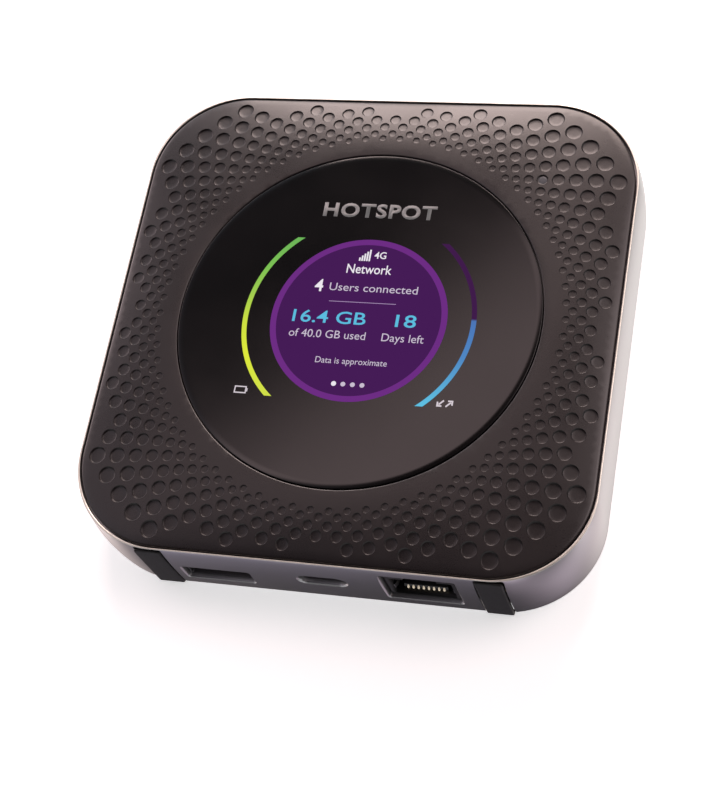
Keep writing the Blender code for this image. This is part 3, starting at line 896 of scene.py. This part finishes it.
# Below the lip the wall is a slight barrel: its slope, in degrees, by height.
TILT_Z = [0.12, 0.3, 0.6, 1.2, 2.5, 4.0, 6.0, 9.5, 13.0, 15.0, 16.5, 17.5, 18.1]
TILT_A = [-62, -38, -14, -6, -3.5, -2.5, -1.5, 0, 2.5, 4, 5, 7, 10]
zs = [18.1, 17.8, 17.5, 17.1, 16.6, 16.0, 15.2, 14.2, 13.0, 11.5, 9.5, 7.5, 5.8,
      4.6, 3.7, 3.0, 2.4, 1.8, 1.2, 0.85, 0.6, 0.42, 0.28, 0.18, 0.12]
fine_z = np.linspace(0.12, 18.1, 900)
slope = np.tan(np.radians(np.interp(fine_z, TILT_Z, TILT_A)))
run = np.concatenate([[0], np.cumsum((slope[1:] + slope[:-1]) / 2
                                     * np.diff(fine_z))])
run = 1.05 - (run - np.interp(9.5, fine_z, run))
PROFILE += [(float(np.interp(z, fine_z, run)), z) for z in zs]
print("band lower edge", PROFILE[-1])
bm = bmesh.new()
rings = [band_ring(d, z) for d, z in PROFILE]
rings += [band_ring(0.1, 0.10), band_ring(-0.70, 0.30, 18.5),
          band_ring(-0.8, 1.6, 18.5),
          band_ring(-0.8, 16.6, 18.5), band_ring(0.32, 16.6)]
loft_bm(bm, rings, closed=True)
band = temp(bm_mesh(bm, "band"))
_ul, _uh = node_box("usb_a_shell")
UAX, UAZ = (_ul.x + _uh.x) / 2, (_ul.z + _uh.z) / 2
_cl, _ch = node_box("usb_c_shell")
UCX, UCZ = (_cl.x + _ch.x) / 2, (_cl.z + _ch.z) / 2
_rl, _rh = node_box("rj45_jack")
RJX, RJZ = (_rl.x + _rh.x) / 2, (_rl.z + _rh.z) / 2
FLX = 33.9
CH_Y = [-50.0, -52.02, -52.3, -52.6, -54.0]
CH_G = [0.0, 0.0, 0.10, 0.42, 0.42]
cutters = [
    temp(prism_y(rect_xz(UAX, UAZ, 14.0, 6.0, 0.5), CH_Y, CH_G)),
    temp(prism_y(rect_xz(UCX, UCZ, 9.7, 4.0, 1.99, 10), CH_Y, CH_G)),
    temp(prism_y(rect_xz(RJX, RJZ, 14.7, 11.8, 0.5), CH_Y, CH_G)),
]
for s in (-1, 1):
    cutters.append(temp(prism_y(
        rect_xz(s * FLX, 8.95, 5.9, 18.2, 0.7), [-50.0, -52.3, -52.6, -54.0],
        [0.0, 0.0, 0.10, 0.10])))
BTN = {}
for nm in ("power", "nav"):
    lo, hi = node_box(nm + "_button")
    cx = (lo.x + hi.x) / 2
    w = {"power": 11.0, "nav": 8.0}[nm]
    BTN[nm] = (cx, 9.8, w)
    cutters.append(temp(prism_y(
        rect_xz(cx, 9.8, w + 0.5, 3.4 + 0.5, (3.4 + 0.5) / 2 - 0.01, 10),
        [50.0, 52.25, 52.6, 54.0], [0.0, 0.0, 0.25, 0.25])))
boolean(band, cutters)
me = band.data
me.materials.clear()
me.materials.append(M["band"])
me.materials.append(M["rim"])
for p in me.polygons:
    c = p.center / MM
    if c.z > 18.275:
        p.material_index = 1
band.name = "side_band_shell"
me.shade_smooth()
me.set_sharp_from_angle(angle=math.radians(24))
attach(band, "housing")
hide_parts("side_band")


# ============================================================ flaps
def flap(side, name):
    cx = side * FLX
    path = []      # (y, z, thickness)
    path += [(-51.35, 0.36, 0.56), (-51.8, 0.37, 0.60), (-52.10, 0.52, 0.74),
             (-52.23, 0.85, 0.90), (-52.25, 1.4, 0.98), (-52.25, 2.1, 1.0)]
    z = 2.8
    while z < 15.9:
        path.append((-52.25, z, 1.0))
        z += 0.8
    path += [(-52.25, 16.1, 0.98), (-52.32, 16.5, 0.82), (-52.36, 17.0, 0.68),
             (-52.36, 17.4, 0.62), (-52.36, 17.62, 0.50), (-52.36, 17.74, 0.28)]
    w = 5.3
    bm = bmesh.new()
    rings = []
    for i, (y, z, t) in enumerate(path):
        a = path[max(0, i - 1)]
        b2 = path[min(len(path) - 1, i + 1)]
        ty, tz = b2[0] - a[0], b2[1] - a[1]
        ln = math.hypot(ty, tz)
        ny, nz = tz / ln, -ty / ln          # local thickness direction
        shrink = 0.0
        if i == len(path) - 1:
            shrink = 0.30
        elif i == len(path) - 2:
            shrink = 0.10
        rr = min(0.24, t / 2 - 0.02)
        ring = []
        for u, v2 in outline(w / 2 - shrink, t / 2, rr, 5, 3):
            ring.append((cx + u, y + ny * v2, z + nz * v2))
        rings.append(ring)
    loft_bm(bm, rings)
    o = add(bm_mesh(bm, name), name, M["rubber"], None, True, 45)
    return o


for s, sd in ((-1, "left"), (1, "right")):
    o = flap(s, "rubber_flap_" + sd)
    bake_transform(o)
    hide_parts("antenna_flap_" + sd, "flap_anchor_" + sd)
    # the stopper on the flap's inner face
    bm = bmesh.new()
    rings = []
    for r, y in ((1.25, -51.8), (1.25, -51.62), (1.05, -51.55), (1.0, -51.3),
                 (0.8, -51.22)):
        rings.append([(s * FLX + r * math.cos(t), y, 8.2 + r * math.sin(t))
                      for t in np.linspace(0, 2 * np.pi, 32, endpoint=False)])
    loft_bm(bm, rings)
    add(bm_mesh(bm, "flap_stopper_" + sd), "flap_stopper_" + sd, M["rubber"],
        "flap_" + sd, True, 40)


# ============================================================ ports
def shell_y(name, shape_o, shape_i, y0, y1, ydeep, mat, lip=0.0):
    """Open-fronted sleeve along Y with a slightly flared mouth."""
    bm = bmesh.new()
    rings = [[(x, y1, z) for x, z in shape_o(0)],
             [(x, y0 + 0.3, z) for x, z in shape_o(0)],
             [(x, y0 + 0.06, z) for x, z in shape_o(0)],
             [(x, y0, z) for x, z in shape_o(-0.06)],
             [(x, y0, z) for x, z in shape_i(0.10)],
             [(x, y0 + 0.35, z) for x, z in shape_i(0)],
             [(x, ydeep, z) for x, z in shape_i(0)]]
    loft_bm(bm, rings)
    return add(bm_mesh(bm, name), name, mat, "housing", True, 30)


# USB-A sleeve in darkened steel, which is painted recess shade.
ua = shell_y("usb_a_sleeve", rect_xz(UAX, UAZ, 13.2, 5.5, 0.45),
             rect_xz(UAX, UAZ, 12.5, 4.8, 0.3), -51.6, -38.0, -38.6, M["steel_painted_recess_shade"])
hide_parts("usb_a_shell")
tg = block("usb_a_tongue_moulding", (UAX - 5.5, UAX + 5.5), (-50.6, -38.8),
           (UAZ + 0.1, UAZ + 1.9), M["port"], "housing", 0.22, 2)
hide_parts("usb_a_tongue")
for i in range(4):
    cx = UAX - 3.5 + i * 2.333
    block("usb_a_contact_%d" % (i + 1), (cx - 0.5, cx + 0.5), (-49.9, -40.0),
          (UAZ - 0.02, UAZ + 0.14), M["gold"], "housing", 0.05, 1)
for i, dx in enumerate((-3.6, 3.6)):
    for j, (za, zb) in enumerate(((UAZ - 2.40, UAZ - 2.06), (UAZ + 2.06, UAZ + 2.40))):
        bm = bmesh.new()
        up = 1 if j == 0 else -1
        base = UAZ - 2.44 * up
        rings = []
        for y, h in ((-50.4, 0.02), (-49.9, 0.30), (-49.2, 0.52), (-48.2, 0.42),
                     (-45.5, 0.10)):
            rings.append([(UAX + dx - 0.9, y, base + up * h),
                          (UAX + dx + 0.9, y, base + up * h),
                          (UAX + dx + 0.9, y, base + up * (h - 0.14)),
                          (UAX + dx - 0.9, y, base + up * (h - 0.14))])
        loft_bm(bm, rings)
        if j == 0 or True:
            add(bm_mesh(bm, "usb_a_spring"), "usb_a_spring_%d%d" % (i, j),
                M["steel"], "housing", True, 30)

# USB-C sleeve in darkened steel, which is painted recess shade.
uc = shell_y("usb_c_sleeve", rect_xz(UCX, UCZ, 8.95, 3.2, 1.59, 10),
             rect_xz(UCX, UCZ, 8.35, 2.6, 1.29, 10), -51.6, -44.2, -44.8,
             M["steel_painted_recess_shade"])
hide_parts("usb_c_shell")
tc_ = block("usb_c_tongue_moulding", (UCX - 3.3, UCX + 3.3), (-50.7, -44.7),
            (UCZ - 0.33, UCZ + 0.33), M["port"], "housing", 0.12, 2)
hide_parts("usb_c_tongue")
for i in range(12):
    cx = UCX - 2.75 + i * 0.5
    for sgn in (-1, 1):
        block("usb_c_contact_%d%s" % (i + 1, "a" if sgn > 0 else "b"),
              (cx - 0.13, cx + 0.13), (-50.1, -46.0),
              (UCZ + sgn * 0.36 - 0.03, UCZ + sgn * 0.36 + 0.03), M["gold"],
              "housing", 0.0, 1)

# Ethernet jack housing: bevelled mouth, stepped latch notch, gold wires.
bm = bmesh.new()
loft_bm(bm, [[(x, -35.0, z) for x, z in rect_xz(RJX, RJZ, 14.1, 11.2, 0.3)(0)],
             [(x, -51.35, z) for x, z in rect_xz(RJX, RJZ, 14.1, 11.2, 0.3)(0)],
             [(x, -51.6, z) for x, z in rect_xz(RJX, RJZ, 13.7, 10.8, 0.2)(0)]])
jack = temp(bm_mesh(bm, "jack"))
JY = [-37.5, -51.0, -51.25, -51.7, -54.0]
JG = [0.0, 0.0, 0.06, 0.34, 0.34]
boolean(jack, [
    temp(prism_y(rect_xz(RJX, 8.65, 11.9, 7.4, 0.15, 2), JY, JG)),
    temp(prism_y(rect_xz(RJX, 12.4, 6.2, 4.2, 0.15, 2), JY, JG)),
    temp(prism_y(rect_xz(RJX, 12.6, 3.2, 5.0, 0.15, 2), [-44.0, -54.0],
                 [0.0, 0.0])),
])
jack.name = "ethernet_jack"
jack.data.materials.clear()
jack.data.materials.append(M["port"])
jack.data.shade_smooth()
jack.data.set_sharp_from_angle(angle=math.radians(25))
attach(jack, "housing")
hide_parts("rj45_jack")


def wire(name, pts, r, mat, body, seg=8):
    """Round wire through points (mm)."""
    P = [Vector(p) for p in pts]
    bm = bmesh.new()
    rings = []
    for i, p in enumerate(P):
        d = (P[min(i + 1, len(P) - 1)] - P[max(i - 1, 0)]).normalized()
        u = Vector((1, 0, 0))
        v2 = d.cross(u).normalized()
        rings.append([tuple(p + u * (r * math.cos(2 * math.pi * k / seg))
                            + v2 * (r * math.sin(2 * math.pi * k / seg)))
                      for k in range(seg)])
    loft_bm(bm, rings)
    return add(bm_mesh(bm, name), name, mat, body, True, 50)


for i in range(8):
    cx = RJX - 3.57 + 1.02 * i
    o = wire("ethernet_contact_%d" % (i + 1),
             [(cx, -38.0, 5.35), (cx, -49.6, 5.35), (cx, -50.3, 5.42),
              (cx, -50.62, 5.62), (cx, -50.66, 5.86), (cx, -50.45, 6.06),
              (cx, -50.0, 6.22), (cx, -48.6, 6.55), (cx, -45.5, 7.35),
              (cx, -42.5, 8.1)], 0.20, M["contact"], "housing")
    if i == 0:
        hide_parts("rj45_contacts")
# comb that keeps the wires apart, just behind their bends
for i in range(9):
    cx = RJX - 4.08 + 1.02 * i
    block("ethernet_comb_%d" % (i + 1), (cx - 0.20, cx + 0.20), (-50.3, -47.5),
          (4.97, 5.75), M["port"], "housing", 0.05, 1)
# moulded bar the wires run through, and the two side springs of the shield
bm = bmesh.new()
loft_bm(bm, [[(x, y, z) for y, z in ((-50.46, 4.98), (-50.46, 6.05),
                                     (-50.2, 6.45), (-49.4, 6.80),
                                     (-46.6, 7.50), (-46.3, 7.30),
                                     (-46.3, 4.98))]
             for x in (RJX - 4.35, RJX + 4.35)])
add(bm_mesh(bm, "ethernet_wire_bar"), "ethernet_wire_bar", M["port"], "housing",
    True, 30)
for s, nm in ((-1, "left"), (1, "right")):
    bm = bmesh.new()
    loft_bm(bm, [[(RJX + s * x, y, z) for x, y in (
        (6.0, -51.2), (5.75, -51.15), (5.45, -50.6), (5.25, -49.9),
        (5.32, -49.3), (5.65, -48.4), (5.95, -47.9), (6.0, -47.9))]
        for z in (6.4, 6.5, 8.1, 8.2)])
    add(bm_mesh(bm, "ethernet_spring_" + nm), "ethernet_spring_" + nm,
        M["steel_painted_recess_shade"], "housing", True, 40)

# ============================================================ buttons
for nm in ("power", "nav"):
    cx, cz, w = BTN[nm]
    bm = bmesh.new()
    sh = rect_xz(cx, cz, w, 3.4, 1.69, 12)
    fl = rect_xz(cx, cz, w + 2.4, 4.6, 0.9, 12)
    rings = [[(x, 49.8, z) for x, z in fl(0)], [(x, 50.6, z) for x, z in fl(0)],
             [(x, 50.6, z) for x, z in sh(0)], [(x, 52.45, z) for x, z in sh(0)],
             [(x, 52.60, z) for x, z in sh(-0.04)],
             [(x, 52.70, z) for x, z in sh(-0.13)],
             [(x, 52.74, z) for x, z in sh(-0.28)],
             [(x, 52.70, z) for x, z in sh(-0.55)],
             [(x, 52.60, z) for x, z in sh(-1.0)],
             [(x, 52.56, z) for x, z in sh(-1.45)]]
    loft_bm(bm, rings)
    o = add(bm_mesh(bm, nm + "_key"), nm + "_key", M["button"], nm, True, 40)
    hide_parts(nm + "_button")


def sym(name, polys, y, mat, body):
    bm = bmesh.new()
    for pts in polys:
        a = [bm.verts.new((x * MM, y * MM, z * MM)) for x, z in pts]
        b2 = [bm.verts.new((x * MM, (y + 0.02) * MM, z * MM)) for x, z in pts]
        n = len(pts)
        for j in range(n):
            bm.faces.new((a[j], a[(j + 1) % n], b2[(j + 1) % n], b2[j]))
        bm.faces.new(a)
        bm.faces.new(b2)
    return add(bm_mesh(bm, name), name, mat, body, False)


# power symbol, a broken ring and a bar
cx, cz, w = BTN["power"]
ring_pts = []
for i in range(29):
    t = math.radians(125 + 290 * i / 28)
    ring_pts.append((cx + 0.85 * math.cos(t), cz + 0.85 * math.sin(t)))
for i in range(28, -1, -1):
    t = math.radians(125 + 290 * i / 28)
    ring_pts.append((cx + 0.68 * math.cos(t), cz + 0.68 * math.sin(t)))
# The symbol uses the mark material, which has a faint painted glow.
sym("power_symbol", [ring_pts, rect(cx - 0.085, cx + 0.085, cz + 0.25, cz + 1.0)],
    52.565, M["mark"], "power")

# ============================================================ rear cover
bm = bmesh.new()


def c_ring(h, r, z):
    return flat(outline(h, h, r, 24, 12), z)


loft_bm(bm, [c_ring(50.5 - 0.9, 17.0, 0.6), c_ring(50.5 - 0.35, 17.55, 0.68),
             c_ring(50.5 - 0.05, 17.85, 0.95), c_ring(50.5, 17.9, 1.3),
             c_ring(50.5, 17.9, 2.0), c_ring(49.3, 16.7, 2.0),
             c_ring(49.3, 16.7, 1.72)])
cov = temp(bm_mesh(bm, "cover"))
cut = []
for fx, fy in ((-36, -36), (36, -36), (-36, 36), (36, 36)):
    bm = bmesh.new()
    loft_bm(bm, disc_rings(fx, fy, [(4.25, -0.5), (4.25, 1.1)], 48))
    cut.append(temp(bm_mesh(bm, "c")))
# thumb notch in the edge at one corner
bm = bmesh.new()
loft_bm(bm, disc_rings(49.0, 43.5, [(3.6, -0.5), (3.6, 0.55), (2.6, 1.0)], 48))
cut.append(temp(bm_mesh(bm, "c")))
boolean(cov, cut)
adds = []
tabs = [(-12.0, 48.2, 8.0, 1.2), (12.0, 48.2, 8.0, 1.2),
        (-8.0, -48.2, 8.0, 1.2), (8.0, -48.2, 8.0, 1.2),
        (-49.2, 0.0, 1.0, 8.0), (49.2, 0.0, 1.0, 8.0)]


def raw_box(x, y, z, r=0.0):
    bm = bmesh.new()
    bmesh.ops.create_cube(bm, size=1.0)
    c = [(a + b2) / 2 for a, b2 in (x, y, z)]
    s = [b2 - a for a, b2 in (x, y, z)]
    for vv in bm.verts:
        vv.co = Vector([(vv.co[i] * s[i] + c[i]) * MM for i in range(3)])
    if r:
        bmesh.ops.bevel(bm, geom=bm.edges[:], offset=r * MM, segments=2,
                        profile=0.5, affect='EDGES')
    return temp(bm_mesh(bm, "b"))


for tx, ty, tw, tl in tabs:
    adds.append(raw_box((tx - tw / 2, tx + tw / 2), (ty - tl / 2, ty + tl / 2),
                        (1.3, 4.8), 0.15))
for g in range(-3, 4):
    adds.append(raw_box((g * 13.0 - 0.4, g * 13.0 + 0.4), (-44.0, 44.0),
                        (1.3, 2.12), 0.05))
    adds.append(raw_box((-44.0, 44.0), (g * 13.0 - 0.4, g * 13.0 + 0.4),
                        (1.3, 2.10), 0.05))
boolean(cov, adds, 'UNION')
cov.name = "back_cover"
cov.data.materials.clear()
cov.data.materials.append(M["cover"])
cov.data.shade_smooth()
cov.data.set_sharp_from_angle(angle=math.radians(25))
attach(cov, "cover")
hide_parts("rear_cover")
for i, (fx, fy) in enumerate(((-36, -36), (36, -36), (-36, 36), (36, 36))):
    bm = bmesh.new()
    loft_bm(bm, disc_rings(fx, fy, [(3.3, 0.0), (3.7, 0.05), (3.95, 0.2),
                                    (4.0, 0.45), (4.0, 0.8)], 64))
    o = add(bm_mesh(bm, "foot_%d" % (i + 1)), "foot_%d" % (i + 1), M["foot"],
            "cover", True, 40)
    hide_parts("foot_pad_%d" % (i + 1))

# ============================================================ kept CAD nodes
KEEP = {
    "lcd_module": "screen_back", "lcd_bracket": "steel", "lcd_ribbon": "frame",
    "led_light_pipe": "card", "main_pcb": "board", "modem_shield": "steel",
    "wifi_shield": "steel", "power_shield": "steel", "antenna_left": "frame",
    "antenna_right": "frame", "antenna_socket_left": "port",
    "antenna_socket_right": "port", "antenna_jack_left": "gold",
    "antenna_jack_right": "gold", "battery_chassis": "frame",
    "chassis_screw_1": "steel", "chassis_screw_2": "steel",
    "chassis_screw_3": "steel", "chassis_screw_4": "steel",
    "battery_connector": "port", "sim_holder": "steel",
    "microsd_holder": "steel", "battery_pack": "battery",
    "battery_terminals": "gold", "sim_card": "card", "microsd_card": "port",
    "reset_button": "button", "power_switch": "steel", "nav_switch": "steel",
}
for n_, k_ in KEEP.items():
    o = NODES[n_]
    o.data.materials.clear()
    o.data.materials.append(M[k_])

# ============================================================ stage
bm = bmesh.new()
bmesh.ops.create_grid(bm, x_segments=1, y_segments=1, size=3.0)
floor = bpy.data.objects.new("floor", bm_mesh(bm, "floor"))
bpy.context.scene.collection.objects.link(floor)
m, nt, b = new_mat("floor_white")
b.inputs["Base Color"].default_value = (0.90, 0.90, 0.90, 1)
b.inputs["Roughness"].default_value = 0.35
b.inputs["Specular IOR Level"].default_value = 0.35
b.inputs["Emission Color"].default_value = (1, 1, 1, 1)
b.inputs["Emission Strength"].default_value = 0.60
floor.data.materials.append(m)
# The bounce from below comes from the graded surroundings instead.
floor.visible_diffuse = False
floor.visible_glossy = False
floor.visible_shadow = False

world = bpy.data.worlds.new("studio")
bpy.context.scene.world = world
world.use_nodes = True
nt = world.node_tree
bg = nt.nodes["Background"]
tcw = nt.nodes.new("ShaderNodeTexCoord")
SKY = tcw.outputs["Generated"]
sp = nt.nodes.new("ShaderNodeSeparateXYZ")
link(nt, SKY, sp.inputs[0])


def axis(az, el):
    az, el = math.radians(az), math.radians(el)
    return (math.cos(el) * math.cos(az), math.cos(el) * math.sin(az),
            math.sin(el))


def lobe(az, el, power):
    """Round soft light in the surroundings."""
    d = nt.nodes.new("ShaderNodeVectorMath")
    d.operation = 'DOT_PRODUCT'
    link(nt, SKY, d.inputs[0])
    d.inputs[1].default_value = axis(az, el)
    return maths(nt, 'POWER', maths(nt, 'MAXIMUM', d.outputs["Value"], 0.0),
                 float(power))


def step(v, a, b2):
    n = nt.nodes.new("ShaderNodeMapRange")
    n.interpolation_type = 'SMOOTHSTEP'
    n.inputs["From Min"].default_value = a
    n.inputs["From Max"].default_value = b2
    link(nt, v, n.inputs["Value"])
    return n.outputs["Result"]


def less(v, a, b2):
    return maths(nt, 'SUBTRACT', 1.0, step(v, a, b2))


X_, Y_, Z_ = sp.outputs
Zs = maths(nt, 'MAXIMUM', Z_, 0.05)
SL = maths(nt, 'DIVIDE', maths(nt, 'SUBTRACT', X_, Y_), Zs)
SP = maths(nt, 'DIVIDE', maths(nt, 'ADD', X_, Y_), Zs)
strip = maths(nt, 'MULTIPLY', step(SL, -0.855, -0.69), less(SL, -0.62, -0.48))
strip = maths(nt, 'MULTIPLY', strip,
              maths(nt, 'MULTIPLY', step(SP, -0.5, -0.2), less(SP, 0.6, 0.9)))
strip = maths(nt, 'MULTIPLY', strip, step(Z_, 0.09, 0.10))
horizon = maths(nt, 'MULTIPLY', step(Z_, -0.04, 0.0), less(Z_, 0.12, 0.22))
skirt = maths(nt, 'MULTIPLY', step(Z_, -0.72, -0.52), less(Z_, -0.04, 0.0))
SKY_PARTS = {
    "strip": (strip, 1.89, (1.0, 0.765, 0.77)),
    "horizon": (horizon, 0.9, (1.0, 1.0, 1.0)),
    "skirt": (skirt, 0.70, (1.0, 0.99, 1.0)),
    "u_120": (lobe(120, 18, 14), 0.96, (0.72, 0.87, 1.0)),
    "h_30": (lobe(30, 48, 20), 5.2, (1.0, 0.82, 0.82)),
    "h_180": (lobe(180, 48, 20), 1.0, (0.97, 0.88, 1.0)),
    "s_150": (lobe(150, -5, 10), 7.1, (1.0, 0.79, 0.81)),
    "d_0": (lobe(0, -45, 30), 1.5, (1.0, 0.89, 0.92)),
    "d_90": (lobe(90, -45, 30), 2.5, (1.0, 0.98, 0.95)),
    "d_180": (lobe(180, -45, 30), 2.35, (1.0, 0.84, 0.81)),
    "d_240": (lobe(238, -42, 60), 1.14, (0.87, 0.77, 1.0)),
    "d_270": (lobe(275, -40, 50), 1.39, (1.0, 0.82, 0.99)),
    "n_30": (lobe(30, -62, 40), 1.03, (1.0, 0.85, 0.84)),
    "n_60": (lobe(60, -62, 40), 1.13, (1.0, 0.93, 0.89)),
    "n_300": (lobe(300, -58, 50), 0.33, (1.0, 0.82, 0.96)),
    "n_330": (lobe(330, -62, 40), 0.80, (1.0, 0.83, 0.96)),
}
total = None
for nm, (f, gain, tint) in SKY_PARTS.items():
    v = nt.nodes.new("ShaderNodeVectorMath")
    v.operation = 'SCALE'
    v.label = nm
    v.inputs[0].default_value = tint
    link(nt, maths(nt, 'MULTIPLY', f, gain), v.inputs["Scale"])
    if total is None:
        total = v.outputs[0]
    else:
        n = nt.nodes.new("ShaderNodeVectorMath")
        n.operation = 'ADD'
        link(nt, total, n.inputs[0])
        link(nt, v.outputs[0], n.inputs[1])
        total = n.outputs[0]
link(nt, total, bg.inputs["Color"])
bg.inputs["Strength"].default_value = 1.0


def area(name, loc, target, sx, sy, power, color=(1, 1, 1), roll=0.0):
    li = bpy.data.lights.new(name, 'AREA')
    li.shape = 'RECTANGLE'
    li.size, li.size_y = sx * MM, sy * MM
    li.energy = power
    li.color = color
    o = bpy.data.objects.new(name, li)
    o.visible_camera = False
    bpy.context.scene.collection.objects.link(o)
    z = (Vector(loc) - Vector(target)).normalized()
    q = z.to_track_quat('Z', 'Y')
    o.matrix_world = (Matrix.Translation(Vector(loc) * MM)
                      @ q.to_matrix().to_4x4()
                      @ Matrix.Rotation(math.radians(roll), 4, 'Z'))
    return o


# Key softbox behind the object, 31 degrees up.
kd = axis(94, 31)
key = area("softbox_back", [900 * c for c in kd], (0, 0, 0), 585, 383, 8.9,
           (1.0, 0.80, 0.75))

# ============================================================ camera
f_px = 1800.0
Rm = Matrix(((0.9614172, 0.17108804, -0.21542013),
             (0.06616003, -0.90389472, -0.42260760),
             (-0.26702023, 0.39205002, -0.88033913)))
tv = Vector((-0.01261052, -0.29942577, 6.99283971)) * UNIT
cpos = -(Rm.transposed() @ tv) + Vector((0, 0, TOP))
cam_d = bpy.data.cameras.new("camera")
cam_d.sensor_width = 36.0
cam_d.lens = f_px / 785.0 * 36.0
cam_d.clip_start, cam_d.clip_end = 0.01, 20.0
cam = bpy.data.objects.new("camera", cam_d)
bpy.context.scene.collection.objects.link(cam)
mw = Matrix.Identity(4)
for i, axis in enumerate((Rm[0], -Vector(Rm[1]), -Vector(Rm[2]))):
    for j in range(3):
        mw[j][i] = axis[j]
mw.translation = cpos * MM
cam.matrix_world = mw
bpy.context.scene.camera = cam

vs_ = bpy.context.scene.view_settings
vs_.view_transform = 'Standard'
vs_.look = 'None'
vs_.exposure = 0.0
vs_.gamma = 1.0

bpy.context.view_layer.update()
